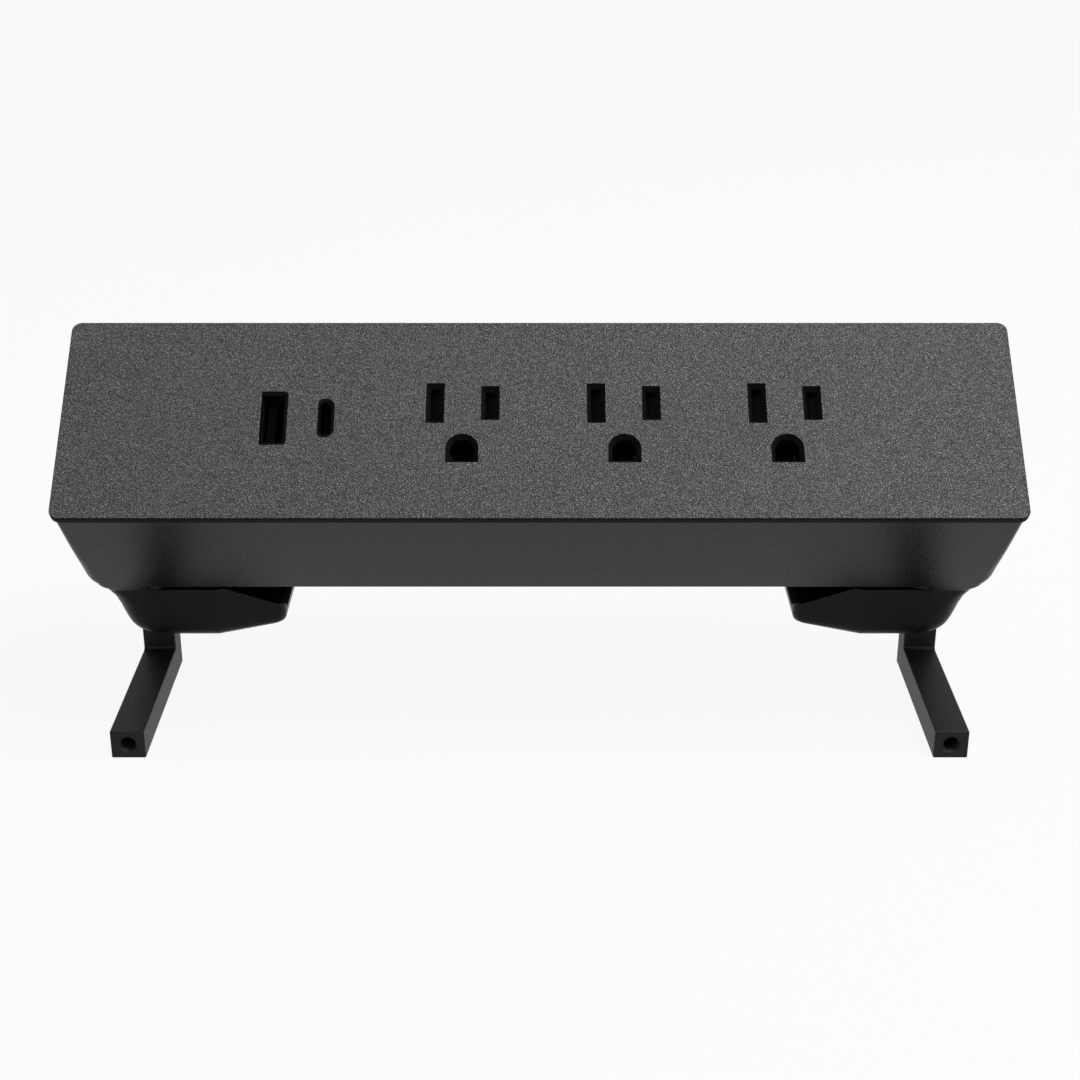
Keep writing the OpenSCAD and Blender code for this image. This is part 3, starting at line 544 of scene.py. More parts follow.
def insulation(name, colour):
    """Soft vinyl over a wire: satin, with faint rings from the extruder"""
    f = Finish(name)
    rings = f.noise(0.9 * mm, 2, 0.5)
    return f.surface(
        Base_Color=f.mix(rings, shade(colour, 0.9), shade(colour, 1.08)),
        Roughness=(0.34 + 0.1 * rings).clamp(0, 1),
        Normal=f.relief(rings, 0.02 * mm),
    )


def circuit_board(colour):
    """Green solder mask over a glass weave, lighter where copper runs beneath"""
    f = Finish("circuit_board")
    tracks = f.node(
        "ShaderNodeTexBrick", {"offset": 0.37},
        {"Vector": f.place, "Scale": 160, "Mortar Size": 0.03, "Mortar Smooth": 0.3}, "Fac",
    )
    weave = f.noise(0.5 * mm, 1, 0.4)
    return f.surface(
        Base_Color=f.mix((tracks * 0.7 + weave * 0.3).clamp(0, 1), colour, shade(colour, 2.2)),
        Roughness=(0.28 + 0.12 * weave).clamp(0, 1),
        Normal=f.relief(tracks, 0.03 * mm),
    )


def tape(colour):
    """Polyester tape round a winding: glossy, with soft creases"""
    f = Finish("winding_tape")
    crease = f.noise(1.6 * mm, 3, 0.55, f.stretched((1, 0.2, 0.2)))
    return f.surface(
        Base_Color=f.mix(crease, shade(colour, 0.8), shade(colour, 1.1)),
        Roughness=(0.22 + 0.14 * crease).clamp(0, 1),
        Coat_Weight=0.4,
        Normal=f.relief(crease, 0.05 * mm),
    )


def floor_paper(whiten):
    """White paper. To the camera, in mirrors and through glass a share of it is plain white, so that the
    background stays white and the object's shadow stays faint; other rays meet paper alone."""
    f = Finish("floor_paper")
    f.surface(Base_Color=(0.9, 0.9, 0.9), Roughness=0.9, Specular_IOR_Level=0.0)
    share = f.straight_seen() * whiten
    white = f.node("ShaderNodeEmission", inputs={"Color": (1, 1, 1, 1), "Strength": 0.965})
    paper = Wire(f, f.shader.outputs[0])
    both = f.node("ShaderNodeMixShader", inputs={0: share, 1: paper, 2: white})
    out = next(n for n in f.tree.nodes if n.type == "OUTPUT_MATERIAL")
    f.tree.links.new(both.socket, out.inputs["Surface"])
    return f.material


# ---------- Face plate ----------


def hole_levels(width, depth, through):
    """A hole's levels from below: a straight throat, a sloping chamfer, and a soft lip at the face"""
    lip = 0.06 * mm
    return [
        (0, -through),
        (0, -depth),
        (width - lip, -depth * lip / width),
        (width - lip * 0.2, -depth * lip * 0.25 / width),
        (width + lip * 0.8, 0.01 * mm),
        (width + lip, 1 * mm),
    ]


def hole(at, size, radii, levels, grow=False, left=far):
    """A hole's cutter: its outline stands at a place on the face, with a radius for each corner. On its
    left side it reaches no further out than left."""
    low = (at[0] - size[0] / 2, at[1] - size[1] / 2)
    high = (at[0] + size[0] / 2, at[1] + size[1] / 2)
    rings = stack(box_corners(low, high), radii, levels, 9, grow)
    rings[..., 0] = np.maximum(rings[..., 0], low[0] - left)
    return on_face(rings)


def outlet_holes(x):
    """Cutters for one outlet: the longer neutral slot, the line slot, and the ground pin's hole, which is
    round above and square below"""
    s = bpy.context.scene.strip_face
    levels = hole_levels(s.chamfer, s.chamfer_depth, s.thickness + mm)
    blade, slot, sharp = 6.35 * mm, 2.2 * mm, 0.1 * mm
    r = 2.75 * mm
    drop = r - s.chamfer / 10
    ground = (x, s.blade_height - s.ground_drop + (r - drop) / 2)
    radii, grow = [sharp, sharp, r, r], [0, 0, 1, 1]
    return [
        hole((x - blade, s.blade_height), (slot, 8.5 * mm), sharp, levels),
        hole((x + blade, s.blade_height), (slot, 7 * mm), sharp, levels),
        hole(ground, (2 * r, r + drop), radii, levels, grow),
    ]


def port_holes():
    """Cutters for the USB-A and the USB-C hole, whose chamfers leave out the left side"""
    levels = hole_levels(0.82 * mm, 0.5 * mm, bpy.context.scene.strip_face.thickness + mm)
    v = 26 * mm
    return [
        hole((-61.3 * mm, v), (5.1 * mm, 12.5 * mm), 0.2 * mm, levels, True, 0.25 * mm),
        hole((-49.3 * mm, v), (2.7 * mm, 8.6 * mm), 1.34 * mm, levels, True, 0.3 * mm),
    ]


def tall_posts():
    """Places on the face of the posts that reach the housing: two over the feet, four round the contact
    carrier"""
    s = bpy.context.scene.strip_face
    foot_x = rib_in - 4 * mm
    left = s.outlet_x - 13.3 * mm
    right = s.outlet_x + 2 * s.outlet_pitch - 0.5 * mm
    low, high = 6.6 * mm, s.length - 7 * mm
    return [(-foot_x, 8 * mm), (foot_x, 8 * mm), (left, low), (right, low), (left, high), (right, high)]


def short_posts():
    """Places on the face of the posts that carry the contact carrier, beside and between the outlets"""
    s = bpy.context.scene.strip_face
    beside, between = 13.5 * mm, 20.5 * mm
    low = s.blade_height - s.ground_drop - 0.4 * mm
    high = s.blade_height - mm
    last = s.outlet_x + 2 * s.outlet_pitch
    return [
        (s.outlet_x - beside, low), (s.outlet_x + between, high),
        (s.outlet_x + s.outlet_pitch + between, high), (last + beside, low),
    ]


class STRIP_OT_face_plate(bpy.types.Operator):
    """Builds the sloping face plate: a rounded plate with a soft upper rim, chamfered holes for three
    outlets and two ports, and the rib and screw posts on its underside"""

    bl_idname = "strip.face_plate"
    bl_label = "Face plate"

    def execute(self, context):
        s, h = context.scene.strip_face, context.scene.strip_housing
        under = -s.thickness
        levels = [
            (-0.15 * mm, under), (0, under + 0.15 * mm), (0, -s.edge_depth),
            (-0.3 * s.edge, -0.45 * s.edge_depth), (-0.7 * s.edge, -0.1 * s.edge_depth), (-s.edge, 0),
        ]
        outline = box_corners((plate_low.x, 0), (plate_high.x, s.length))
        plate = solid("face_plate_moulding", on_face(stack(outline, s.corner, levels, 10)))
        # posts: place, radius, radius of the bore, end, depth of the bore
        board = [(x, v) for x in (-72 * mm, -42 * mm) for v in (9.5 * mm, 42.5 * mm)]
        posts = [(at, 2.9 * mm, 1.55 * mm, h.wall - h.depth, 11 * mm) for at in tall_posts()]
        posts += [(at, 2.9 * mm, 1.3 * mm, under - 5 * mm, 5.5 * mm) for at in short_posts()]
        posts += [(at, 2.7 * mm, 1.05 * mm, under - 13 * mm, 7 * mm) for at in board]
        lead, root = 0.3 * mm, under + 0.5 * mm
        shafts, bores = [], []
        for at, r, bore, end, deep in posts:
            shafts.append(on_face(disc_rings([(r - lead, end), (r, end + lead), (r, root)], 28, at)))
            drill = [(bore, end - mm), (bore, end + deep), (0.2 * bore, end + deep + bore)]
            bores.append(on_face(disc_rings(drill, 24, at)))
        combine(plate, "UNION", solid("posts", *shafts))
        # the rib that stands inside the housing's walls
        width, height, play = 1.2 * mm, 2.5 * mm, 0.2 * mm
        inner = h.rim + h.wall + play
        side = h.side_rim + h.wall + play
        outline = box_corners((plate_low.x + side, inner), (plate_high.x - side, s.length - inner))
        rib = solid("rib", on_face(stack(outline, 2 * mm, [(0, under - height), (0, root)])))
        levels = [(-width, under - height - 0.5 * mm), (-width, under + mm)]
        combine(rib, "DIFFERENCE", solid("inside", on_face(stack(outline, 2 * mm, levels))))
        combine(plate, "UNION", rib)
        combine(plate, "DIFFERENCE", solid("bores", *bores))
        holes = [cutter for i in range(3) for cutter in outlet_holes(s.outlet_x + i * s.outlet_pitch)]
        combine(plate, "DIFFERENCE", solid("holes", *holes, *port_holes()))
        look = context.scene.strip_finishes
        finish = grained_plate_painted_glints(tuple(look.plate), look.grain, look.grain_depth)
        finish_piece(plate, "body", ["face_plate"], finish)
        # only the face itself is grained: edges, chamfers and underside are smooth, and their darker colour
        # is painted shade for the dark shadow line under the plate's edge, which the hole chamfers take on
        # too
        mesh = plate.data
        edge = moulded("plate_edge_painted_shade", shade(look.plate, 0.05), 0.55, 0.3 * mm, 0.006 * mm, 0.04)
        mesh.materials.append(edge)
        normals = np.empty(len(mesh.polygons) * 3)
        mesh.polygons.foreach_get("normal", normals)
        facing = normals.reshape(-1, 3) @ np.array([0, -math.sin(s.tilt), math.cos(s.tilt)])
        mesh.polygons.foreach_set("material_index", (facing < 0.97).astype(int))
        return {"FINISHED"}


# ---------- Housing ----------


def tub_rings(inset, bottom, top):
    """Rings of the housing's outer form, drawn in by inset: towards its underside the ends lean in and
    the corners open, each on a smooth curve of the depth."""
    s, h = bpy.context.scene.strip_face, bpy.context.scene.strip_housing
    depth = np.array([2, 20, 34.5, 36.8, 38.2, 39]) * mm
    turning, straight = -34 * mm, min(top, -depth[0])
    heights = np.append(np.linspace(bottom, turning, 12), np.linspace(turning, straight, 8))
    heights = np.unique(heights)
    lean = smooth_curve(-heights, depth, np.array([0, 0.15, 0.3, 0.7, 1.5, 2.4]) * mm)
    round_off = smooth_curve(-heights, depth, np.array([1, 1.8, 3, 3, 3, 3]) * mm)
    half = (plate_high.x - h.side_rim) - inset
    low, high = h.rim + inset, s.length - h.rim - inset
    rings = []
    for n, draw, r in zip(heights, lean, round_off):
        corners = box_corners((-(half - draw), low), (half - draw, high))
        ring = rounded(corners, max(0.6 * mm, r - inset), 0, 12)
        rings.append(np.column_stack([ring, np.full(len(ring), n)]))
    if top > straight:
        rings.append(rings[-1] + np.array([0, 0, top - straight]))
    return on_face(np.array(rings))


def foot_places():
    """Where the right foot stands: its inner and outer side, its front and back, and its sole, which
    takes the pad into a recess"""
    s, h = bpy.context.scene.strip_face, bpy.context.scene.strip_housing
    front = plate_low.y + h.rim * math.cos(s.tilt) + h.depth * math.sin(s.tilt) + h.foot_set
    outer = arm_high.x + 5.5 * mm
    return outer - h.foot_width, outer, front, front + h.foot_depth, pad_low.z + 0.2 * mm


def foot_rings(inset, bottom, top):
    """Rings of a right foot, from bottom to top above the sole, drawn in by inset. Near the sole the
    outer side curves under on one smooth curve of the height and the other sides on a shorter one."""
    h = bpy.context.scene.strip_housing
    inner, outer, front, back, sole = foot_places()
    fine = [0, 0.3, 0.7, 1.2, 1.9, 2.8, 4, 5.5, 7.5, 10, 12.5, 12.65, 13.6, 14.3, 18, 24, 46.3]
    heights = np.unique(np.clip(np.array(fine) * mm, bottom, top))
    rise = np.array([0, 1, 2.8, 7.5, 10, 12.2, 14.3, 46.3]) * mm
    lean = smooth_curve(heights, rise, np.array([8.3, 5.6, 4, 1.9, 0.9, -0.5, -2.3, -2.3]) * mm)
    under = smooth_curve(heights, rise, np.array([1.4, 0.4, 0, 0, 0, 0, 0, 0]) * mm)
    turn = smooth_curve(heights, rise, np.array([6, 6, 6, 6, 5, 4, 3, 3]) * mm)
    steps, between = 10, 12
    rings = []
    for z, a, b, r in zip(heights, lean + inset, under + inset, turn):
        corners = [
            (inner + b, front + h.foot_back + 0.3 * mm + b * 1.15),
            (inner + h.foot_turn - 0.4 * mm, front + b),
            (outer - a, front + b),
            (outer - a, back - b),
            (inner + b, back - b),
        ]
        radii = np.maximum(np.array([3 * mm, 2 * mm, r, r, 3 * mm]) - inset, 0.4 * mm)
        ring = rounded(corners, radii, 0, steps)
        # more points along the straight front, between its two arcs
        first, last = ring[2 * steps - 1], ring[2 * steps]
        ring = np.insert(ring, 2 * steps, np.linspace(first, last, between + 2)[1:-1], 0)
        rings.append(np.column_stack([ring, np.full(len(ring), sole + z)]))
    rings = np.array(rings)
    if inset == 0:
        # at the outer end the tub's front wall runs on down into the foot: the ledge fades out there
        across = np.clip((rings[..., 0] - (outer - 16 * mm)) / (5 * mm), 0, 1)
        across = across**2 * (3 - 2 * across)
        below = h.foot_height - (rings[..., 2] - sole)
        above = np.clip(1 - below * math.tan(bpy.context.scene.strip_face.tilt) / h.foot_set, 0, 1)
        near = np.clip(1 - (rings[..., 1] - front) / (7 * mm), 0, 1)
        # elsewhere a shadow gap runs along under the tub's edge
        gap = 1.1 * mm * (1 - across) * near * (rings[..., 2] > sole + 12.6 * mm)
        rings[..., 1] += gap - h.foot_set * across * above * near
    return rings


def beyond(name, a, b, turn):
    """All that lies between two distances from the middle, on one side, used only as a cutter"""
    x = sorted((a * turn[0], b * turn[0]))
    return block(name, (x[0], -far, -far), (x[1], far, far))


def under_face(n):
    """All that lies lower than n in face coordinates, used only as a cutter"""
    return block("under_face", (-far, -far, -far), (far, far, n), on_face)


def wiring_room():
    """The tub's inside: its outer form drawn in by the wall, less the two ribs beside the arms' bays"""
    s, h = bpy.context.scene.strip_face, bpy.context.scene.strip_housing
    room = solid("wiring_space", tub_rings(h.wall, h.wall - h.depth, mm - s.thickness))
    for turn in sides.values():
        rib = beyond("rib", rib_in, rib_out, turn)
        over = block("over", (-far, -far, -s.thickness - 3.4 * mm), (far, far, far), on_face)
        combine(rib, "DIFFERENCE", over)
        combine(room, "DIFFERENCE", rib)
    return room


def hollow_foot(shell, turn):
    """Cuts the arm's bay, which opens into the tub, and the tray, which opens to the inner side and has a
    sloping top to its front"""
    h = bpy.context.scene.strip_housing
    inner, _, front, back, sole = foot_places()
    top, beneath = 46 * mm, -h.depth
    bay = solid("bay", foot_rings(h.foot_wall, h.floor, top) * turn)
    combine(bay, "INTERSECT", beyond("outside", rib_out, far, turn))
    combine(bay, "INTERSECT", under_face(h.wall - h.depth + 0.02 * mm))
    combine(shell, "DIFFERENCE", bay)
    tray = solid("tray", foot_rings(h.foot_wall, h.floor, top) * turn)
    combine(tray, "INTERSECT", beyond("inside", 0, rib_in, turn))
    combine(tray, "INTERSECT", under_face(beneath))
    combine(shell, "DIFFERENCE", tray)
    edge_z = sole + h.foot_height
    high = edge_z + 30 * mm
    x = sorted(turn[0] * np.array([inner - mm, inner + h.foot_wall + 3 * mm]))
    low_corner = (x[0], front + h.foot_back + 2.4 * mm, sole + h.lip)
    mouth = block("mouth", low_corner, (x[1], back - h.foot_wall - mm, high))
    combine(mouth, "INTERSECT", under_face(beneath))
    combine(shell, "DIFFERENCE", mouth)
    # the notch over the turned part of the front: its outline from the front, which falls to the back
    turned = inner + h.foot_turn + 0.5 * mm
    slope = np.array([
        (inner - mm, sole + 10.8 * mm), (inner + 2 * mm, sole + 10 * mm), (turned, edge_z - 0.5 * mm),
        (turned, high), (inner - mm, high),
    ])
    fall = 0.7
    rings = [
        np.column_stack([slope[:, 0], np.full(len(slope), y), slope[:, 1] - fall * (y - front)]) * turn
        for y in (front - 20 * mm, front + 10 * mm)
    ]
    notch = solid("notch", rings)
    combine(notch, "INTERSECT", under_face(beneath))
    combine(shell, "DIFFERENCE", notch)


def pierce_foot(shell, turn):
    """Cuts the arm's way out, the sole pad's recess, the lock screw's key hole, the guide screws' holes
    and the driver's way to the plate screw over the foot"""
    h = bpy.context.scene.strip_housing
    _, _, _, back, sole = foot_places()
    gap, play = 0.4 * mm, 0.1 * mm
    upright_y = arm_high.y - 7 * mm
    arm_x = (arm_low.x + arm_high.x) / 2
    up = np.array([0, 0, sole])
    way = box_corners((arm_low.x - gap, upright_y - gap), (arm_high.x + gap, arm_high.y + gap))
    levels = [(0.3 * mm, -mm), (0.3 * mm, 0), (0, 0.3 * mm), (0, h.floor + 3 * mm)]
    combine(shell, "DIFFERENCE", solid("way", (stack(way, 0.4 * mm, levels) + up) * turn))
    pad = box_corners((pad_low.x - play, pad_low.y - play), (pad_high.x + play, pad_high.y + play))
    recess = stack(pad, 2 * mm, [(0, -mm), (0, mm)]) + up
    combine(shell, "DIFFERENCE", solid("recess", recess * turn))
    key_r, mouth_r = 3.5 * mm, 4.1 * mm
    levels = [
        (key_r, back - h.foot_wall - mm), (key_r, back - 0.4 * mm),
        (mouth_r, back + 0.2 * mm), (mouth_r, back + 5 * mm),
    ]
    key = disc_rings(levels)[..., [0, 2, 1]] + np.array([arm_x, 0, (guide_low.z + guide_high.z) / 2])
    combine(shell, "DIFFERENCE", solid("key_hole", key * turn))
    for z in (guide_low.z + 3.4 * mm, guide_high.z - 8 * mm):
        screw = disc_rings([(1.55 * mm, rib_in - mm), (1.55 * mm, rib_out + mm)], 24)[..., [2, 0, 1]]
        screw = screw + np.array([0, upright_y + 3.5 * mm, z])
        combine(shell, "DIFFERENCE", solid("guide_screw_hole", screw * turn))
    levels = [(3.5 * mm, -h.depth - 32 * mm), (3.5 * mm, -h.depth)]
    driver = on_face(disc_rings(levels, 32, tall_posts()[1]))
    combine(shell, "DIFFERENCE", solid("driver_way", driver * turn))


class STRIP_OT_housing(bpy.types.Operator):
    """Builds the housing: a tilted tub whose ends lean in and whose corners open towards the underside,
    and two hollow feet that grow out of it, with the arm's bay, the open tray and the screw holes"""

    bl_idname = "strip.housing"
    bl_label = "Housing and feet"

    def execute(self, context):
        s, h = context.scene.strip_face, context.scene.strip_housing
        bottom, floor = -h.depth, h.wall - h.depth
        shell = solid("housing_moulding", tub_rings(0, bottom, -s.thickness))
        for turn in sides.values():
            foot = solid("foot", foot_rings(0, 0, 46.3 * mm) * turn)
            combine(foot, "INTERSECT", under_face(bottom + mm))
            combine(shell, "UNION", foot)
        combine(shell, "DIFFERENCE", wiring_room())
        for turn in sides.values():
            hollow_foot(shell, turn)
            pierce_foot(shell, turn)
        head, shank = 3.1 * mm, 1.55 * mm
        step = bottom + mm
        levels = [(head, bottom - mm), (head, step), (shank, step + 0.001 * mm), (shank, floor + mm)]
        seats = [on_face(disc_rings(levels, 28, at)) for at in tall_posts()]
        combine(shell, "DIFFERENCE", solid("screw_seats", *seats))
        entry = disc_rings([(6.55 * mm, bottom - mm), (6.55 * mm, floor + mm)], 40, (0, s.length / 2))
        combine(shell, "DIFFERENCE", solid("cord_entry", on_face(entry)))
        look = context.scene.strip_finishes
        finish = moulded("housing_plastic", tuple(look.housing), 0.32, 0.5 * mm, 0.09 * mm, 0.12)
        finish_piece(shell, "body", ["housing"], finish, 28)
        return {"FINISHED"}


# ---------- Arms ----------


class STRIP_OT_arms(bpy.types.Operator):
    """Builds the two L-shaped arms: square bar with soft edges, a fillet where it turns up, a tapped
    hole in the tip whose radius rises and falls along a helix, and the stop screw's hole on top"""

    bl_idname = "strip.arms"
    bl_label = "Arms"

    def execute(self, context):
        a = context.scene.strip_arms
        finish = powder_coat(tuple(context.scene.strip_finishes.arm))
        bar = arm_high.x - arm_low.x
        thick = 7 * mm
        upright_y = arm_high.y - thick
        profile = [
            (arm_low.y, 0), (arm_high.y, 0), (arm_high.y, arm_high.z),
            (upright_y, arm_high.z), (upright_y, thick), (arm_low.y, thick),
        ]
        outside = a.edge + 0.05 * mm
        radii = [outside] * 4 + [a.inside, outside]
        # across the bar both ends are rounded by a quarter circle
        turn = np.linspace(0, math.pi / 2, 5)
        near = list(zip(-a.edge * (1 - np.sin(turn)), -bar / 2 + a.edge * (1 - np.cos(turn))))
        levels = near + [(out, -x) for out, x in reversed(near)]
        rings = stack(profile, radii, levels, 6)[..., [2, 0, 1]]
        # the tapped hole, as wide as its core plus a triangle wave along the helix, in a widened mouth
        around = 30
        angle = np.arange(around) * 2 * math.pi / around
        along = np.arange(-0.4 * mm, a.depth, a.pitch / 7)[:, None]
        phase = (along / a.pitch - angle / (2 * math.pi)) % 1
        crest = 1 - np.abs(2 * phase - 1)
        run_out = np.clip((a.depth - along) / a.pitch, 0, 1)
        radius = a.tap / 2 + (a.major - a.tap) / 2 * 0.85 * crest * run_out
        radius = np.maximum(radius, a.tap / 2 + 0.5 * mm - along)
        y = np.broadcast_to(along + arm_low.y, radius.shape)
        thread = np.stack([radius * np.cos(angle), y, radius * np.sin(angle) + thick / 2], -1)
        # the drill's point at its end
        point = thread[-1:] * np.array([0.05, 1, 0.05]) + np.array([0, 0.9 * mm, 0.95 * thick / 2])
        thread = np.concatenate([thread, point])
        # the stop screw's hole in the top
        stop, end = 2.05 * mm, arm_high.z - 12 * mm
        top = disc_rings([(0.2 * mm, end), (stop, end + mm), (stop, arm_high.z + mm)], 28)
        top[..., 1] += upright_y + thick / 2
        for name, turn in sides.items():
            shift = turn * np.array([(arm_low.x + arm_high.x) / 2, 0, 0])
            obj = solid(name + "_arm_bar", rings + shift)
            combine(obj, "DIFFERENCE", solid("thread", thread + shift))
            combine(obj, "DIFFERENCE", solid("stop_hole", top + shift))
            finish_piece(obj, name + "_arm", [name + "_arm"], finish, 35)
        return {"FINISHED"}


# ---------- Sole pads ----------


class STRIP_OT_sole_pads(bpy.types.Operator):
    """Builds the rubber pads under the feet: a rounded slab whose lower face carries low ribs"""

    bl_idname = "strip.sole_pads"
    bl_label = "Sole pads"

    def execute(self, context):
        finish = rubber((0.012, 0.012, 0.012))
        slab = box_corners((pad_low.x, pad_low.y), (pad_high.x, pad_high.y))
        levels = [(-0.25 * mm, pad_low.z), (0, pad_low.z + 0.12 * mm), (0, pad_high.z)]
        cut = [(0.3 * mm, pad_low.z - 0.3 * mm), (-0.1 * mm, pad_low.z + 0.35 * mm)]
        count, rim, half = 6, 1.5 * mm, 0.45 * mm
        pitch = (pad_high.y - pad_low.y - 2 * rim) / count
        for name, turn in sides.items():
            pad = solid(name + "_pad_rubber", stack(slab, 1.9 * mm, levels, 8) * turn)
            grooves = []
            for i in range(count):
                y = pad_low.y + rim + pitch * (i + 0.5)
                corners = box_corners((pad_low.x + 1.4 * mm, y - half), (pad_high.x - 1.4 * mm, y + half))
                grooves.append(stack(corners, 0.44 * mm, cut, 6) * turn)
            combine(pad, "DIFFERENCE", solid("grooves", *grooves))
            finish_piece(pad, "body", [name + "_sole_pad"], finish)
        return {"FINISHED"}


# ---------- Shutter springs ----------


class STRIP_OT_springs(bpy.types.Operator):
    """Builds the shutters' coil springs: a circle the size of the wire, carried along a helix."""

    bl_idname = "strip.springs"
    bl_label = "Shutter springs"

    def execute(self, context):
        finish = metal("spring_steel", (0.4, 0.4, 0.41), 0.22)
        turns, wire, coil, travel = 6, 0.35 * mm, 1.1 * mm, 3 * mm
        angle = np.linspace(0, turns * 2 * math.pi, turns * 18 + 1)
        around = (np.arange(8) * -2 * math.pi / 8)[:, None]
        outwards = np.column_stack([np.zeros(len(angle)), np.cos(angle), np.sin(angle)])[:, None]
        along = np.array([1.0, 0, 0])
        circle = wire / 2 * (np.cos(around) * outwards + np.sin(around) * along)
        for number in "123":
            low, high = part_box("shutter_spring_" + number)
            axis = np.array([0, (low.y + high.y) / 2, (low.z + high.z) / 2])
            way = np.linspace(low.x + wire / 2, high.x - wire / 2, len(angle))[:, None, None]
            rings = axis + way * along + coil * outwards + circle
            obj = solid("spring_coil_" + number, rings)
            finish_piece(obj, "body", ["shutter_spring_" + number], finish, 60)
            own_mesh(obj)
        return {"FINISHED"}


# ---------- Finishes of the parts that keep their frame shape ----------


class STRIP_OT_small_parts(bpy.types.Operator):
    """Gives every part that keeps its frame shape the finish of its material slot"""

    bl_idname = "strip.small_parts"
    bl_label = "Small parts"

    def execute(self, context):
        grey, black, dark = (0.42, 0.42, 0.43), (0.001, 0.001, 0.001), (0.006, 0.006, 0.006)
        made = {
            "zinc": metal("cast_zinc", grey, 0.42, size=0.8 * mm, tarnish=0.4),
            "screw_steel": metal("screw_steel", (0.5, 0.5, 0.5), 0.28, (1, 1, 6)),
            "lock_steel": metal("blackened_steel", (0.09, 0.088, 0.085), 0.38, (1, 1, 6)),
            "carrier_plastic": moulded("carrier_plastic", dark, 0.5, 0.5 * mm, 0.015 * mm, 0.15),
            "brass": metal("strip_brass", (0.26, 0.18, 0.08), 0.45, (0.15, 1, 1), 0.3 * mm, 0.5),
            "shutter_plastic": moulded("shutter_acetal", shade(dark, 0.5), 0.55, 0.4 * mm, 0.008 * mm, 0.1),
            "board_green": circuit_board((0.012, 0.1, 0.045)),
            # painted shade: the ports' steel shell and plastic tongue are darkened nearly to black so that
            # the inside of each port reads as shade
            "port_steel": metal("port_steel", (0.03, 0.03, 0.03), 0.5, (1, 1, 0.2), 0.3 * mm, 0.3),
            "port_black": moulded("port_plastic_painted_shade", black, 0.6, 0.4 * mm, 0.008 * mm, 0.02),
            "tape_yellow": tape((0.75, 0.52, 0.05)),
            "can_blue": insulation("can_sleeve", (0.02, 0.05, 0.28)),
            "chip_black": moulded("chip_resin", (0.014, 0.014, 0.015), 0.55, 0.2 * mm, 0.01 * mm),
            "block_white": moulded("block_nylon", (0.72, 0.71, 0.68), 0.42, 0.6 * mm, 0.02 * mm),
            "lead_black": insulation("lead_black", (0.012, 0.012, 0.013)),
            "lead_white": insulation("lead_white", (0.75, 0.75, 0.73)),
            "lead_green": insulation("lead_green", (0.02, 0.22, 0.06)),
            "gland_black": moulded("gland_nylon", (0.015, 0.015, 0.0155), 0.36, 0.5 * mm, 0.01 * mm),
        }
        slots = {part["node"]: part["material_slot"] for part in frame["record"]["subparts"]}
        for name, node in frame["nodes"].items():
            if slots[name] in made and not node.hide_render:
                node.data.materials.clear()
                node.data.materials.append(made[slots[name]])
        return {"FINISHED"}


# ---------- Stage ----------


def softbox(name, at, towards, size, power):
    """A rectangular lamp that faces a point"""
    lamp = bpy.data.lights.new(name, "AREA")
    lamp.shape = "RECTANGLE"
    lamp.size, lamp.size_y = size
    lamp.energy = power
    obj = bpy.data.objects.new(name, lamp)
    obj.location = at
    obj.rotation_euler = (Vector(towards) - Vector(at)).to_track_quat("-Z", "Y").to_euler()
    bpy.context.scene.collection.objects.link(obj)


def round_floor(reach, around=48, count=8):
    """A level disc of rings, each further from the last: a ring's radius is the reach times the cube of
    its number over the count"""
    angle = np.arange(around) * 2 * math.pi / around
    radius = reach * (np.arange(1, count + 1) / count) ** 3
    rim = np.stack([np.outer(radius, np.cos(angle)), np.outer(radius, np.sin(angle))], -1).reshape(-1, 2)
    points = np.column_stack([np.vstack([[0, 0], rim]), np.zeros(len(rim) + 1)])
    a, b = 1 + np.arange(around), 1 + (np.arange(around) + 1) % around
    fan = np.column_stack([np.zeros(around, int), a, b])
    first = (np.arange(count - 1) * around)[:, None]
    bands = np.stack([first + a, first + around + a, first + around + b, first + b], -1).reshape(-1, 4)
    mesh = bpy.data.meshes.new("floor")
    mesh.from_pydata(points.tolist(), [], fan.tolist() + bands.tolist())
    floor = bpy.data.objects.new("floor", mesh)
    bpy.context.scene.collection.objects.link(floor)
    return floor


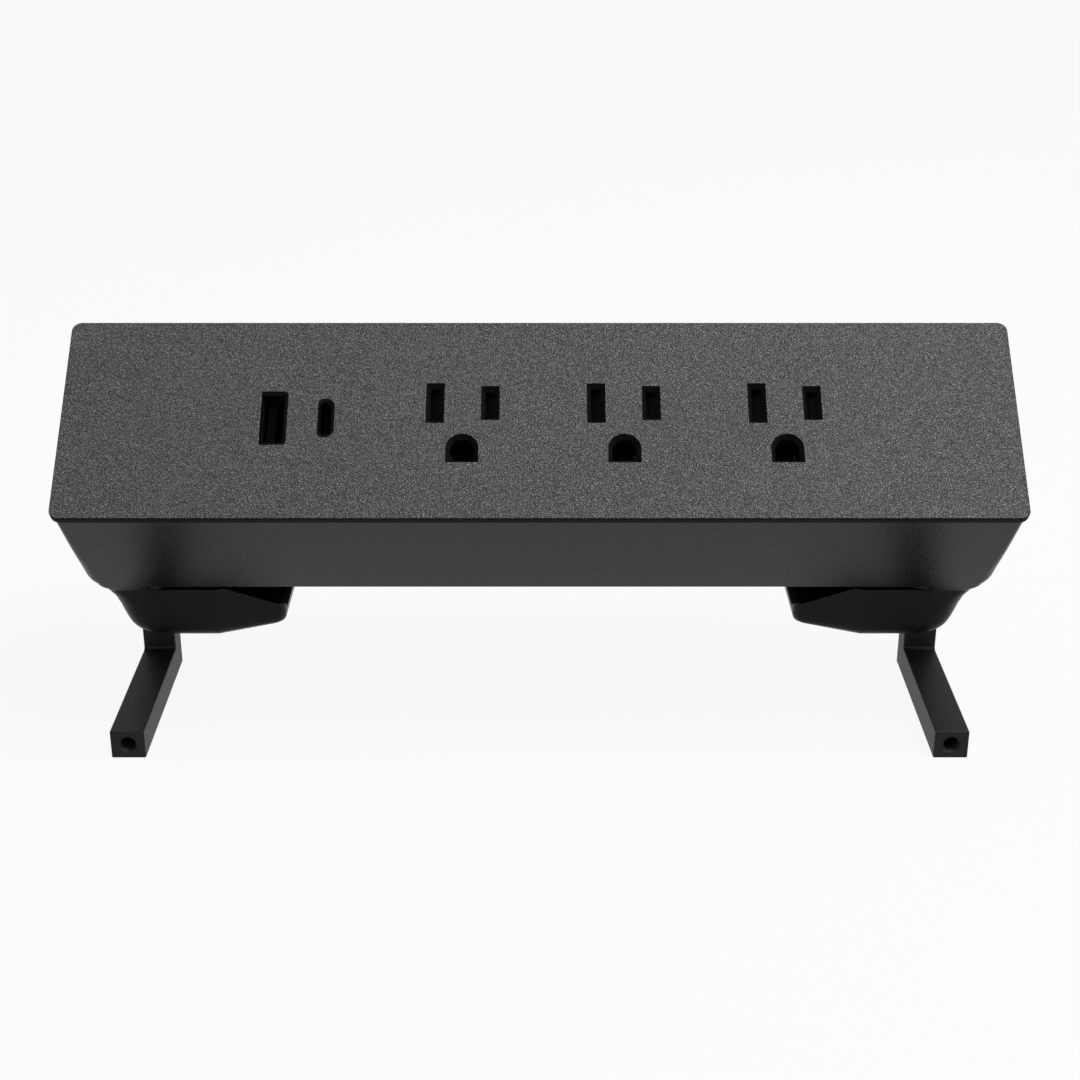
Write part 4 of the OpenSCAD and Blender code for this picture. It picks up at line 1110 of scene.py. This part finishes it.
class STRIP_OT_stage(bpy.types.Operator):
    """Sets the camera, the floor, the soft lamps and the white surroundings"""

    bl_idname = "strip.stage"
    bl_label = "Camera, floor and light"

    def execute(self, context):
        scene = context.scene
        camera = bpy.data.cameras.new("camera")
        camera.lens = 63.11
        camera.sensor_width = 36
        camera.clip_start = 0.01
        holder = bpy.data.objects.new("camera", camera)
        holder.location = (0.0001, -0.4194, 0.2236)
        holder.rotation_euler = (math.radians(90 - 23.545), 0, 0)
        scene.collection.objects.link(holder)
        scene.camera = holder
        floor = round_floor(12.0)
        floor.data.materials.append(floor_paper(0.95))
        world = bpy.data.worlds.new("surroundings")
        world.use_nodes = True
        scene.world = world
        sky = Nodes(world.node_tree)
        levels = {"Value": sky.straight_seen(), "To Min": 0.42, "To Max": 1.0}
        level = sky.node("ShaderNodeMapRange", inputs=levels)
        background = world.node_tree.nodes["Background"]
        background.inputs["Color"].default_value = (1, 1, 1, 1)
        world.node_tree.links.new(level.socket, background.inputs["Strength"])
        softbox("overhead", (0.48, -0.22, 1.2), (0, 0, 0.05), (0.7, 0.6), 14)
        softbox("right_side", (1.3, -0.2, 0.55), (0, 0, 0.05), (0.8, 0.8), 6)
        scene.view_settings.view_transform = "Standard"
        return {"FINISHED"}


# ---------- Panel and registration ----------


class STRIP_PT_panel(bpy.types.Panel):
    """Lists the sizes, the finishes and the steps that build the strip"""

    bl_idname = "STRIP_PT_panel"
    bl_label = "Power strip"
    bl_space_type = "VIEW_3D"
    bl_region_type = "UI"
    bl_category = "Power strip"

    def draw(self, context):
        scene = context.scene
        for title, group in (
            ("Face", scene.strip_face),
            ("Housing", scene.strip_housing),
            ("Arms", scene.strip_arms),
            ("Finishes", scene.strip_finishes),
        ):
            box = self.layout.box()
            box.label(text=title)
            for name in group.bl_rna.properties.keys():
                if name not in ("rna_type", "name"):
                    box.prop(group, name)
        for step in steps:
            self.layout.operator(step.bl_idname)


groups = {
    "strip_face": FaceSizes,
    "strip_housing": HousingSizes,
    "strip_arms": ArmSizes,
    "strip_finishes": Finishes,
}
steps = (
    STRIP_OT_stage,
    STRIP_OT_face_plate,
    STRIP_OT_housing,
    STRIP_OT_arms,
    STRIP_OT_sole_pads,
    STRIP_OT_springs,
    STRIP_OT_small_parts,
)


def register():
    for name, group in groups.items():
        bpy.utils.register_class(group)
        setattr(bpy.types.Scene, name, bpy.props.PointerProperty(type=group))
    for step in (*steps, STRIP_PT_panel):
        bpy.utils.register_class(step)


def unregister():
    for step in (STRIP_PT_panel, *reversed(steps)):
        bpy.utils.unregister_class(step)
    for name, group in groups.items():
        delattr(bpy.types.Scene, name)
        bpy.utils.unregister_class(group)


def main():
    register()
    bpy.ops.strip.stage()
    bpy.ops.strip.face_plate()
    bpy.ops.strip.housing()
    bpy.ops.strip.arms()
    bpy.ops.strip.sole_pads()
    bpy.ops.strip.springs()
    bpy.ops.strip.small_parts()


if __name__ == "__main__":
    main()
